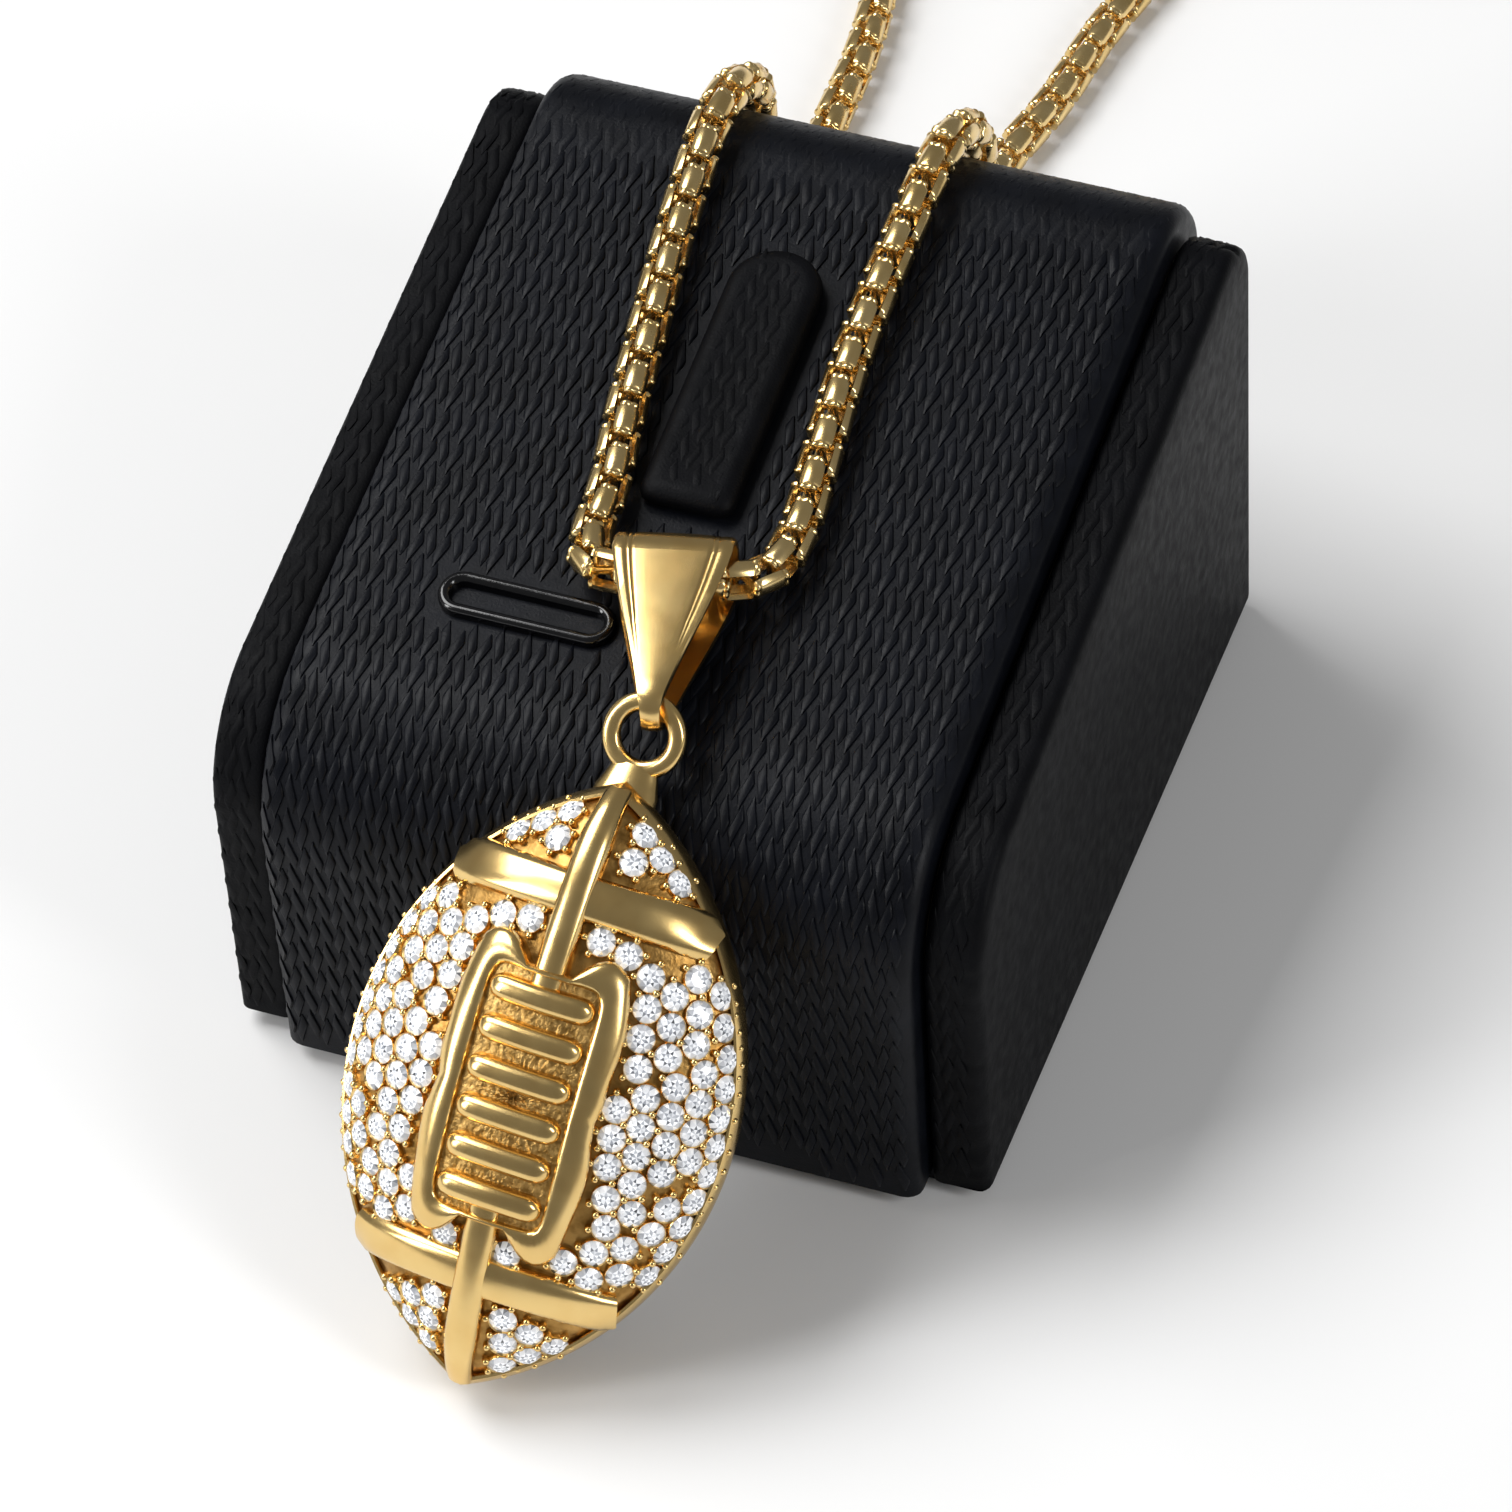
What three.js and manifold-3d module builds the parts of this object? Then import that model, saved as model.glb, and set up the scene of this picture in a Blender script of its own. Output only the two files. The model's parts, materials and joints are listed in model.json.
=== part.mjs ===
// A wedge-shaped jewellery display block covered in black leatherette, with a gold football
// pendant on a 3 mm round box chain laid over it. Millimetres, +Z up, X across the block,
// +Y towards its high back edge. The origin is the centre of the base.
import * as THREE from "three";
import { mergeVertices } from "three/addons/utils/BufferGeometryUtils.js";
import Module from "manifold-3d";

const wasm = await Module();
wasm.setup();

// ---- driving dimensions -------------------------------------------------------------------

const GAP = 0.3; // between solids that touch on the real object
const DEGREE = Math.PI / 180;

const stand = {
  width: 56,
  depth: 60.5, // of the side boards; the pad stands proud of them
  frontHeight: 30.5,
  backHeight: 40.22,
  frontRadius: 9.5,
  backRadius: 5,
  padWidth: 47,
  padProud: 2,
  skin: 1,
  foam: 2,
  felt: 1.2,
  feltInset: 1.5,
};
const slope = Math.atan((stand.backHeight - stand.frontHeight) / stand.depth);

const tab = { x: -1.2, lowEnd: 24.6, highEnd: 47, width: 6.9, thickness: 1.5 };
const slot = {
  x: -8.9,
  up: 14.2,
  length: 12,
  width: 2.6,
  wall: 0.6,
  lip: 0.4, // of its flange, past the pocket all round
  proud: 0.7,
  depth: 4,
};

const chain = { diameter: 3, sides: 8 };
const coil = { x: -10, y: 121.75, outerTurn: 18, pitch: 3.1, turns: 1.25 };

// The bail's loop runs round the chain and its small end round the pendant's ring.
// x, up and lift are measured on the sloping pad: across it, up it and off it.
const bail = {
  loop: { x: 0.9, up: 17.8, lift: 3.2 },
  loopRadius: 2.15,
  eyeRadius: 1.35,
  band: 0.6,
  topWidth: 8.2,
  endWidth: 1.3,
};

const pendant = {
  lean: 50 * DEGREE, // of its back to the table
  tilt: 4.7 * DEGREE, // of its long axis, seen from the front
  ringX: 3.25,
  ringReach: 7.1, // from where its back meets the pad, up to the ring's centre
  ringRadius: 2.33,
  ringWire: 0.62,
  halfLength: 21.6,
  halfWidth: 13.9,
  bottomTip: -46.3, // below the ring's centre
  back: -1, // the flat back's level; the ring's centre is level 0
  rimTop: 1,
  dome: 6.8, // of the stones' face above the rim
  wall: 1.3,
  sunk: 0.9, // of the shell's own face below the stones'
};

// Raised metal on the football's face: how far each layer stands above the stones.
const proudOfStones = { seam: 0.8, stones: -0.05, panel: 0.6, lace: 1.8 };
const centreBar = { halfWidth: 1.35, halfLength: 30 }; // longer than the football, to be cut by it
const crossBands = [
  { y: 13, width: 3, bow: 1.2 },
  { y: -13.6, width: 3, bow: 0.9 },
];
const laces = { count: 6, pitch: 2.75, length: 7.4, width: 1.8 };

// The lace panel: its centre, and its outline's half sizes before any growth.
const panel = {
  x: -0.2,
  y: 0.2,
  waist: 4.3,
  hip: { x: 5.5, y: 4.8 }, // of the swelling between waist and lobes
  lobe: { outer: 4.5, inner: 2.4, tip: 3.5, end: 9.8, reach: 11.6 },
  notch: { x: 1.3, y: 8 },
};
const football = { y: pendant.bottomTip + pendant.halfLength };

// y values are measured from the middle of the clasp's oval, towards its eye.
const clasp = {
  thickness: 2.4,
  halfWidth: 3.3,
  halfLength: 4.9,
  neck: 0.6, // between the eye's centre and the oval
  wall: 1.3,
  eyeRadius: 1.55,
  eyeHole: 0.95,
  eyeThickness: 0.8,
  pin: 0.45,
  pivot: { inset: 0.9, y: 3.05 },
  opening: { top: 2.6, bottom: -2.6, innerTop: 0.6, innerBottom: 1.2 },
  fork: { top: 5, inner: 0.6, halfThickness: 0.6 },
  blade: { top: 3.9, bottom: -2.2, inner: 1.4, halfThickness: 0.3 },
  thumb: { length: 2.2, width: 1.1, y: 2.4 },
  linkRadius: 1.1,
  linkWire: 0.35,
};
const endRing = { radius: 2.1, wire: 0.5, clearance: 0.1 };
const FAR = 5; // past anything that a cutter has to cut through

// ---- materials ----------------------------------------------------------------------------

function finish(color, roughness, metalness) {
  return new THREE.MeshStandardMaterial({ color, roughness, metalness });
}
const leatherette = finish(0x14161c, 0.55, 0);
const board = finish(0x9a7b55, 0.8, 0);
const foamFinish = finish(0x3a3a3c, 0.95, 0);
const feltFinish = finish(0x101012, 1, 0);
const blackPlastic = finish(0x050506, 0.15, 0);
const gold = finish(0xc99a45, 0.22, 1);
const darkGold = finish(0x8a6226, 0.45, 1);
const crystal = finish(0xe9edf2, 0.05, 0.1);

// ---- solids -------------------------------------------------------------------------------

function solid(geometry) {
  const bare = geometry.clone();
  bare.deleteAttribute("normal");
  bare.deleteAttribute("uv");
  const merged = mergeVertices(bare, 1e-4);
  return new wasm.Manifold(
    new wasm.Mesh({
      numProp: 3,
      vertProperties: new Float32Array(merged.attributes.position.array),
      triVerts: new Uint32Array(merged.index.array),
    }),
  );
}

function geometryOf(body) {
  const mesh = body.getMesh();
  const geometry = new THREE.BufferGeometry();
  geometry.setAttribute("position", new THREE.BufferAttribute(mesh.vertProperties, 3));
  geometry.setIndex(new THREE.BufferAttribute(mesh.triVerts, 1));
  geometry.computeVertexNormals();
  return geometry;
}

function add(group, name, shape, material) {
  const geometry = shape instanceof THREE.BufferGeometry ? shape : geometryOf(shape);
  const mesh = new THREE.Mesh(geometry, material);
  mesh.name = name;
  group.add(mesh);
  return mesh;
}

function prism(shape, low, high, curveSegments = 8) {
  const options = { depth: high - low, bevelEnabled: false, curveSegments };
  return new THREE.ExtrudeGeometry(shape, options).translate(0, 0, low);
}

// An outline drawn in Y and Z, extruded across X.
function acrossX(shape, left, right) {
  const turn = new THREE.Matrix4().set(0, 0, 1, 0, 1, 0, 0, 0, 0, 1, 0, 0, 0, 0, 0, 1);
  return prism(shape, left, right).applyMatrix4(turn);
}

function stadium(length, width, x = 0, y = 0) {
  const shape = new THREE.Shape();
  const r = width / 2;
  const reach = length / 2 - r;
  shape.absarc(x + reach, y, r, -Math.PI / 2, Math.PI / 2);
  shape.absarc(x - reach, y, r, Math.PI / 2, 1.5 * Math.PI);
  return shape;
}

function polygon(points) {
  return new THREE.Shape(points.map(([x, y]) => new THREE.Vector2(x, y)));
}

function tube(points, radius, steps, sides = chain.sides) {
  const path = new THREE.CatmullRomCurve3(points, false, "centripetal");
  const section = new THREE.Shape();
  for (let i = 0; i < sides; i++) {
    const angle = (2 * Math.PI * i) / sides;
    const [x, y] = [radius * Math.cos(angle), radius * Math.sin(angle)];
    if (i) section.lineTo(x, y);
    else section.moveTo(x, y);
  }
  return new THREE.ExtrudeGeometry(section, { extrudePath: path, steps, bevelEnabled: false });
}

function ring(radius, wire) {
  return new THREE.TorusGeometry(radius, wire, 8, 28);
}

function disc(radius, thickness) {
  return new THREE.CylinderGeometry(radius, radius, thickness, 18).rotateX(Math.PI / 2);
}

// ---- the display block --------------------------------------------------------------------

// The wedge's side outline, grown outwards by `proud` all round except at its bottom.
function wedge(proud, bottom) {
  const half = stand.depth / 2 + proud;
  const level = (y) => {
    const middle = (stand.frontHeight + stand.backHeight) / 2;
    return middle + y * Math.tan(slope) + proud / Math.cos(slope);
  };
  const front = stand.frontRadius + proud;
  const back = stand.backRadius + proud;
  const frontZ = level(-half + front) - front / Math.cos(slope);
  const backZ = level(half - back) - back / Math.cos(slope);
  const shape = new THREE.Shape();
  shape.moveTo(-half, bottom);
  shape.lineTo(half, bottom);
  shape.absarc(half - back, backZ, back, 0, Math.PI / 2 + slope);
  shape.absarc(-half + front, frontZ, front, Math.PI / 2 + slope, Math.PI);
  return shape;
}

// A point on the pad: x across, `up` the slope from its foot line, `lift` off its surface.
const padFoot = new THREE.Vector3(
  0,
  -stand.depth / 2 - stand.padProud * Math.sin(slope),
  stand.frontHeight + stand.padProud * Math.cos(slope),
);
function onPad(x, up, lift) {
  return new THREE.Vector3(x, up, lift)
    .applyAxisAngle(new THREE.Vector3(1, 0, 0), slope)
    .add(padFoot);
}

function padGroup() {
  const group = new THREE.Group();
  group.position.copy(padFoot);
  group.rotation.x = slope;
  return group;
}

function buildStand(root) {
  const bottom = stand.felt + GAP;
  const halfPad = stand.padWidth / 2;
  const layers = [
    ["pad_skin", stand.padProud, stand.skin, leatherette],
    ["pad_foam", stand.padProud - stand.skin - GAP, stand.foam, foamFinish],
  ];
  const cutter = solid(
    prism(stadium(slot.length, slot.width, slot.x, slot.up), -slot.depth, FAR),
  );
  const inWorld = new THREE.Matrix4().makeRotationX(slope).setPosition(padFoot);
  const pocket = cutter.transform(inWorld.elements);
  for (const [name, proud, thickness, material] of layers) {
    const outside = solid(acrossX(wedge(proud, bottom), -halfPad, halfPad));
    const inside = solid(acrossX(wedge(proud - thickness, bottom - 1), -halfPad - 1, halfPad + 1));
    add(root, name, outside.subtract(inside).subtract(pocket), material);
  }
  const coreProud = stand.padProud - stand.skin - stand.foam - 2 * GAP;
  const core = solid(acrossX(wedge(coreProud, bottom), -halfPad, halfPad));
  add(root, "core_block", core.subtract(pocket), board);

  const cheek = acrossX(wedge(0, bottom), halfPad + GAP, stand.width / 2);
  add(root, "right_side_board", cheek, leatherette);
  const mirrored = acrossX(wedge(0, bottom), -stand.width / 2, -halfPad - GAP);
  add(root, "left_side_board", mirrored, leatherette);

  const felt = new THREE.BoxGeometry(
    stand.width - 2 * stand.feltInset,
    stand.depth - 2 * stand.feltInset,
    stand.felt,
  ).translate(0, 0, stand.felt / 2);
  add(root, "base_felt", felt, feltFinish);
}

function buildTab(pad) {
  const length = tab.highEnd - tab.lowEnd;
  const middle = (tab.highEnd + tab.lowEnd) / 2;
  const half = tab.width / 2;
  const shape = new THREE.Shape();
  shape.moveTo(-half, -length / 2);
  shape.lineTo(half, -length / 2);
  shape.absarc(0, length / 2 - half, half, 0, Math.PI);
  const body = prism(shape, GAP, GAP + tab.thickness).translate(tab.x, middle, 0);
  add(pad, "clip_tab", body, leatherette);
}

function buildSlot(pad) {
  const floor = GAP - slot.depth;
  const inset = (margin) =>
    stadium(slot.length - 2 * margin, slot.width - 2 * margin, slot.x, slot.up);
  const flange = solid(prism(inset(-slot.lip), GAP, slot.proud));
  const sleeve = solid(prism(inset(GAP), floor, slot.proud));
  const mouth = solid(prism(inset(GAP + slot.wall), floor + slot.wall, FAR));
  add(pad, "slot_lining", flange.add(sleeve).subtract(mouth), blackPlastic);
}

// ---- the chain ----------------------------------------------------------------------------

const chainRadius = chain.diameter / 2;
const onTable = chainRadius + 0.05;
const lying = chainRadius + GAP; // the chain's centre off the pad
const tailLevel = onTable + 0.3;

// Each strand from the bail up the pad, over its back edge, down and away over the table.
function leftStrand() {
  return [
    onPad(bail.loop.x - GAP / 2, bail.loop.up, bail.loop.lift),
    onPad(-1.4, 17.3, 3.2),
    onPad(-3.5, 16.9, 3.15),
    onPad(-5.4, 18, 2.5),
    onPad(-6.2, 20.8, 1.9),
    onPad(-6.4, 24.2, lying),
    onPad(-7.4, 30.5, lying),
    onPad(-8.3, 37.5, lying),
    onPad(-9.2, 44.7, lying),
    onPad(-9.8, 51, lying),
    onPad(-10.1, 55.2, lying),
    new THREE.Vector3(-10.1, 28.25, 42.65),
    new THREE.Vector3(-10.2, 32.55, 39.35),
    new THREE.Vector3(-10.5, 34.2, 34.3),
    new THREE.Vector3(-11.3, 34.25, 24),
    new THREE.Vector3(-12.2, 34.55, 13),
    new THREE.Vector3(-13, 36, 6),
    new THREE.Vector3(-14.2, 39.7, 2.2),
    new THREE.Vector3(-15.5, 45.5, onTable),
    new THREE.Vector3(-17.7, 56, onTable),
    new THREE.Vector3(-18.4, 67.75, onTable),
    new THREE.Vector3(-18.7, 75.75, onTable),
    new THREE.Vector3(-19.8, 83.5, onTable),
    new THREE.Vector3(-23, 96, onTable),
    new THREE.Vector3(-27, 106.75, onTable),
  ];
}

function rightStrand() {
  return [
    onPad(bail.loop.x + GAP / 2, bail.loop.up, bail.loop.lift),
    onPad(3.1, 18.2, 3.15),
    onPad(5.2, 18.7, 2.8),
    onPad(6.9, 20.7, 2.1),
    onPad(7.4, 24.2, lying),
    onPad(6.9, 30.5, lying),
    onPad(6.3, 37.5, lying),
    onPad(6.1, 44.7, lying),
    onPad(6.2, 51, lying),
    onPad(6.3, 55.2, lying),
    new THREE.Vector3(6.4, 28.25, 42.65),
    new THREE.Vector3(6.4, 32.55, 39.35),
    new THREE.Vector3(6.1, 34.2, 34.3),
    new THREE.Vector3(4.8, 34.25, 24),
    new THREE.Vector3(3.2, 34.55, 13),
    new THREE.Vector3(1.8, 36, 6),
    new THREE.Vector3(0, 39.7, 2.2),
    new THREE.Vector3(-1.8, 45.5, onTable),
    new THREE.Vector3(-4.4, 56, onTable),
    new THREE.Vector3(-4.2, 66.5, onTable),
    new THREE.Vector3(-2.5, 75, onTable),
    new THREE.Vector3(-1.2, 85, onTable),
    new THREE.Vector3(1.4, 95, onTable),
    new THREE.Vector3(6.4, 105.75, onTable),
  ];
}

// The last stretch of each strand, inside the coil: `side` is +1 for the left strand's, which
// ends right of the middle, and -1 for the right strand's, which comes down from the upper turns.
function tail(side, height) {
  const place = (x, y, drop) =>
    new THREE.Vector3(coil.x + side * x, coil.y + y, height + (tailLevel - height) * drop);
  return [place(5.1, 9.2, 0.5), place(5.5, 7.2, 0.85), place(5.5, 5, 1)];
}

function turnsSolid(low) {
  const inner = coil.outerTurn - coil.turns * coil.pitch - chainRadius;
  const outer = coil.outerTurn + chainRadius;
  const profile = [
    [inner, low],
    [outer, low],
    [outer, low + chain.diameter],
    [inner, low + chain.diameter],
    [inner, low],
  ].map(([x, y]) => new THREE.Vector2(x, y));
  return new THREE.LatheGeometry(profile, 32)
    .rotateX(Math.PI / 2)
    .translate(coil.x, coil.y, 0);
}

function buildChain(root) {
  const upper = onTable + chain.diameter + GAP;
  add(root, "chain_left", tube(leftStrand(), chainRadius, 40), gold);
  add(root, "chain_right", tube(rightStrand(), chainRadius, 40), gold);
  add(root, "chain_left_turns", turnsSolid(onTable - chainRadius), gold);
  add(root, "chain_right_turns", turnsSolid(upper - chainRadius), gold);
  add(root, "chain_left_tail", tube(tail(1, onTable), chainRadius, 4), gold);
  add(root, "chain_right_tail", tube(tail(-1, upper), chainRadius, 4), gold);
}

// ---- the clasp ----------------------------------------------------------------------------

// A lobster clasp, flat in X and Y with its eye at the group's origin and its nose at -Y.
const ovalY = -clasp.halfLength - clasp.neck;

function oval(inset) {
  const shape = new THREE.Shape();
  const { halfWidth, halfLength } = clasp;
  shape.absellipse(0, ovalY, halfWidth - inset, halfLength - inset, 0, 2 * Math.PI);
  return shape;
}

// The oval frame between its outer edge and the hole inside it, `half` thick each way.
function ovalFrame(half) {
  const segments = 14;
  const outer = solid(prism(oval(0), -half, half, segments));
  return outer.subtract(solid(prism(oval(clasp.wall), -FAR, FAR, segments)));
}

// A block to the right of the line from (innerTop, top) to (innerBottom, bottom).
function sideBlock(top, bottom, innerTop, innerBottom, half) {
  const corners = [
    [innerTop, ovalY + top],
    [FAR, ovalY + top],
    [FAR, ovalY + bottom],
    [innerBottom, ovalY + bottom],
  ];
  return solid(prism(polygon(corners), -half, half));
}

function buildClasp(root) {
  const group = new THREE.Group();
  const tailEnd = tail(1, onTable).at(-1);
  const middle = clasp.thickness / 2;
  const linkReach = 2 * clasp.linkRadius + clasp.linkWire + GAP;
  group.position.set(tailEnd.x, tailEnd.y - linkReach, middle + GAP);
  root.add(group);

  const pivot = new THREE.Vector3(clasp.halfWidth - clasp.pivot.inset, ovalY + clasp.pivot.y, 0);
  const bore = solid(disc(clasp.pin + GAP, FAR).translate(pivot.x, pivot.y, 0));
  const { opening, fork, blade, thumb } = clasp;

  const eye = solid(disc(clasp.eyeRadius, clasp.eyeThickness));
  const body = ovalFrame(middle)
    .add(eye)
    .subtract(solid(disc(clasp.eyeHole, FAR)))
    .subtract(
      sideBlock(opening.top, opening.bottom, opening.innerTop, opening.innerBottom, FAR),
    )
    .subtract(sideBlock(fork.top, 0, fork.inner, fork.inner, fork.halfThickness))
    .subtract(bore);
  add(group, "clasp_body", body, gold);

  const thumbShape = stadium(thumb.length, thumb.width, clasp.halfWidth, ovalY + thumb.y);
  const lever = ovalFrame(blade.halfThickness)
    .intersect(sideBlock(blade.top, blade.bottom, blade.inner, blade.inner, FAR))
    .add(solid(prism(thumbShape, -blade.halfThickness, blade.halfThickness)))
    .subtract(bore);
  add(group, "clasp_trigger", lever, gold);

  const pin = disc(clasp.pin, clasp.thickness).translate(pivot.x, pivot.y, 0);
  add(group, "clasp_pin", pin, darkGold);

  // The ring through the clasp's eye, standing on edge in line with the chain.
  const link = ring(clasp.linkRadius, clasp.linkWire)
    .rotateY(Math.PI / 2)
    .translate(0, clasp.linkRadius, 0);
  add(group, "clasp_ring", link, gold);
}

function buildEndRing(root) {
  const tailEnd = tail(-1, onTable).at(-1);
  const { radius, wire, clearance } = endRing;
  const y = tailEnd.y - radius - wire - GAP;
  add(root, "end_ring", ring(radius, wire).translate(tailEnd.x, y, wire + clearance), gold);
}

// ---- the pendant --------------------------------------------------------------------------

// The side view of the bail's bent band: a round loop about the origin, a round end below it
// and two straight leaves between them.
function bandOutline(grow) {
  const length = bailLength();
  const big = bail.loopRadius + grow;
  const small = bail.eyeRadius + grow;
  const lean = Math.asin((big - small) / length);
  const shape = new THREE.Shape();
  shape.absarc(0, 0, big, -Math.PI / 2 - lean, Math.PI / 2 + lean);
  shape.absarc(-length, 0, small, Math.PI / 2 + lean, 1.5 * Math.PI - lean);
  return shape;
}

const hinge = pendantHinge();

// The pendant's ring centre, and the middle of the ring's top wire, where the bail holds it.
function pendantHinge() {
  const half = stand.depth / 2 + stand.padProud;
  const radius = stand.frontRadius + stand.padProud;
  const middle = (stand.frontHeight + stand.backHeight) / 2;
  const y = radius - half;
  const z = middle + y * Math.tan(slope) + (stand.padProud - radius) / Math.cos(slope);
  const out = new THREE.Vector3(0, -Math.sin(pendant.lean), Math.cos(pendant.lean));
  const along = new THREE.Vector3(0, Math.cos(pendant.lean), Math.sin(pendant.lean));
  const centre = new THREE.Vector3(0, y, z)
    .addScaledVector(out, radius + GAP - pendant.back)
    .addScaledVector(along, pendant.ringReach);
  centre.x = pendant.ringX;
  const up = along.clone().multiplyScalar(Math.cos(pendant.tilt));
  up.x = Math.sin(pendant.tilt);
  return { centre, wire: centre.clone().addScaledVector(up, pendant.ringRadius) };
}

function loopCentre() {
  return onPad(bail.loop.x, bail.loop.up, bail.loop.lift);
}

function bailLength() {
  return loopCentre().distanceTo(hinge.wire);
}

function buildBail(root) {
  const group = new THREE.Group();
  const top = loopCentre();
  const up = top.clone().sub(hinge.wire).normalize();
  const side = new THREE.Vector3(1, 0, 0).addScaledVector(up, -up.x).normalize();
  group.position.copy(top);
  group.quaternion.setFromRotationMatrix(
    new THREE.Matrix4().makeBasis(side, up, side.clone().cross(up)),
  );
  root.add(group);

  const half = bail.topWidth / 2;
  const end = bail.endWidth / 2;
  const outside = solid(acrossX(bandOutline(bail.band), -half, half));
  const inside = solid(acrossX(bandOutline(0), -half - 1, half + 1));
  const taper = polygon([
    [-half, FAR],
    [-half, 0],
    [-end, -bailLength() - bail.eyeRadius - bail.band],
    [end, -bailLength() - bail.eyeRadius - bail.band],
    [half, 0],
    [half, FAR],
  ]);
  const band = outside.subtract(inside).intersect(solid(prism(taper, -FAR, FAR)));
  add(group, "bail", band, gold);
}

// The football's pointed outline: two arcs, scaled about its own middle.
function footballOutline(scale = 1, count = 15) {
  const { halfLength, halfWidth } = pendant;
  const radius = (halfLength ** 2 + halfWidth ** 2) / (2 * halfWidth);
  const spread = Math.asin(halfLength / radius);
  const points = [];
  for (const side of [1, -1])
    for (let i = 0; i < count; i++) {
      const angle = side * (spread * ((2 * i) / count - 1));
      const x = side * (radius * Math.cos(angle) - radius + halfWidth);
      points.push([x * scale, radius * Math.sin(angle) * scale]);
    }
  return points;
}

// The solid under the domed face, from `base` up to the dome at `rise` above the rim.
function domed(base, rise, levels = 6) {
  const rings = [[base, 1]];
  for (let k = 0; k < levels; k++) {
    const angle = (k / levels) * (Math.PI / 2);
    rings.push([pendant.rimTop + rise * Math.sin(angle), Math.cos(angle)]);
  }
  const positions = [0, 0, base];
  const count = footballOutline().length;
  for (const [z, scale] of rings)
    for (const [x, y] of footballOutline(scale)) positions.push(x, y, z);
  positions.push(0, 0, pendant.rimTop + rise);
  const top = positions.length / 3 - 1;
  const index = [];
  for (let i = 0; i < count; i++) {
    const next = (i + 1) % count;
    index.push(0, 1 + next, 1 + i);
    for (let k = 0; k + 1 < rings.length; k++) {
      const a = 1 + k * count;
      const b = a + count;
      index.push(a + i, a + next, b + next, a + i, b + next, b + i);
    }
    const last = 1 + (rings.length - 1) * count;
    index.push(last + i, last + next, top);
  }
  const geometry = new THREE.BufferGeometry();
  geometry.setAttribute("position", new THREE.Float32BufferAttribute(positions, 3));
  geometry.setIndex(index);
  return solid(geometry);
}

// A curved strip across the football, `bow` deep at its middle.
function bandShape({ y, width, bow }, grow) {
  const half = pendant.halfWidth;
  const steps = 8;
  const edge = (side) => (i) => {
    const x = half * ((2 * i) / steps - 1);
    return [x, y + bow * (1 - (x / half) ** 2) + side * (width / 2 + grow)];
  };
  const across = Array.from({ length: steps + 1 }, (_, i) => i);
  return polygon([...across.map(edge(-1)), ...across.reverse().map(edge(1))]);
}

// The lace panel's outline: a waisted oblong whose four corners run out into rounded lobes.
function panelShape(grow) {
  const waist = panel.waist + grow;
  const hip = panel.hip.x + grow;
  const outer = panel.lobe.outer + grow;
  const inner = panel.lobe.inner - grow;
  const reach = panel.lobe.reach + 1.5 * grow;
  const notch = panel.notch.y + grow;
  const { end, tip } = panel.lobe;
  const shape = new THREE.Shape();
  const outwards = (x, y) => {
    shape.quadraticCurveTo(x * hip, y * panel.hip.y, x * outer, y * end);
    shape.quadraticCurveTo(x * tip, y * reach, x * inner, y * end);
    shape.quadraticCurveTo(x * panel.notch.x, y * notch, 0, y * notch);
  };
  const back = (x, y) => {
    shape.quadraticCurveTo(x * panel.notch.x, y * notch, x * inner, y * end);
    shape.quadraticCurveTo(x * tip, y * reach, x * outer, y * end);
    shape.quadraticCurveTo(x * hip, y * panel.hip.y, x * waist, 0);
  };
  shape.moveTo(-waist, 0);
  outwards(-1, -1);
  back(1, -1);
  outwards(1, 1);
  back(-1, 1);
  return shape;
}

// A shape on the football's face, cut straight through it.
function through(shape, curveSegments = 5) {
  return solid(prism(shape, -FAR, 3 * FAR, curveSegments));
}

// The centre bar and both cross bands, wider by `grow` on each side.
function seamCutter(grow) {
  const x = centreBar.halfWidth + grow;
  const y = centreBar.halfLength;
  const bar = polygon([
    [-x, -y],
    [x, -y],
    [x, y],
    [-x, y],
  ]);
  return crossBands
    .map((band) => through(bandShape(band, grow)))
    .reduce((whole, band) => whole.add(band), through(bar));
}

function panelCutter(grow) {
  return through(panelShape(grow)).translate([panel.x, panel.y, 0]);
}

// What stands on the shell's face, `proud` above the stones' own face.
function faceLayer(proud) {
  const bed = domed(pendant.back - 1, pendant.dome - pendant.sunk + GAP);
  return domed(pendant.back, pendant.dome + proud).subtract(bed);
}

function stonesName(piece) {
  const { min, max } = piece.boundingBox();
  const side = min[0] + max[0] > 0 ? "right" : "left";
  const y = (min[1] + max[1]) / 2;
  const place = y > 10 ? "top" : y < -10 ? "bottom" : "middle";
  return `stones_${place}_${side}`;
}

function buildFace(body) {
  const clearOfPanel = panelCutter(2 * GAP);
  const [topSeams, bottomSeams] = faceLayer(proudOfStones.seam)
    .intersect(seamCutter(0))
    .subtract(clearOfPanel)
    .decompose()
    .sort((a, b) => b.boundingBox().max[1] - a.boundingBox().max[1]);
  add(body, "upper_seams", topSeams, gold);
  add(body, "lower_seams", bottomSeams, gold);

  const least = 0.5; // cubic millimetres: slivers beside the bands hold no stone
  const fields = faceLayer(proudOfStones.stones)
    .subtract(seamCutter(GAP))
    .subtract(clearOfPanel)
    .decompose()
    .filter((piece) => piece.volume() > least);
  for (const piece of fields) add(body, stonesName(piece), piece, crystal);

  const plate = faceLayer(proudOfStones.panel).intersect(panelCutter(0));
  add(body, "lace_panel", plate, darkGold);
  const over = domed(pendant.back - 1, pendant.dome + proudOfStones.panel + GAP);
  const raised = domed(pendant.back, pendant.dome + proudOfStones.lace).subtract(over);
  for (let i = 0; i < laces.count; i++) {
    const y = panel.y + laces.pitch * ((laces.count - 1) / 2 - i);
    const bar = through(stadium(laces.length, laces.width, panel.x, y));
    add(body, `lace_${i + 1}`, raised.intersect(bar), gold);
  }
}

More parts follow.
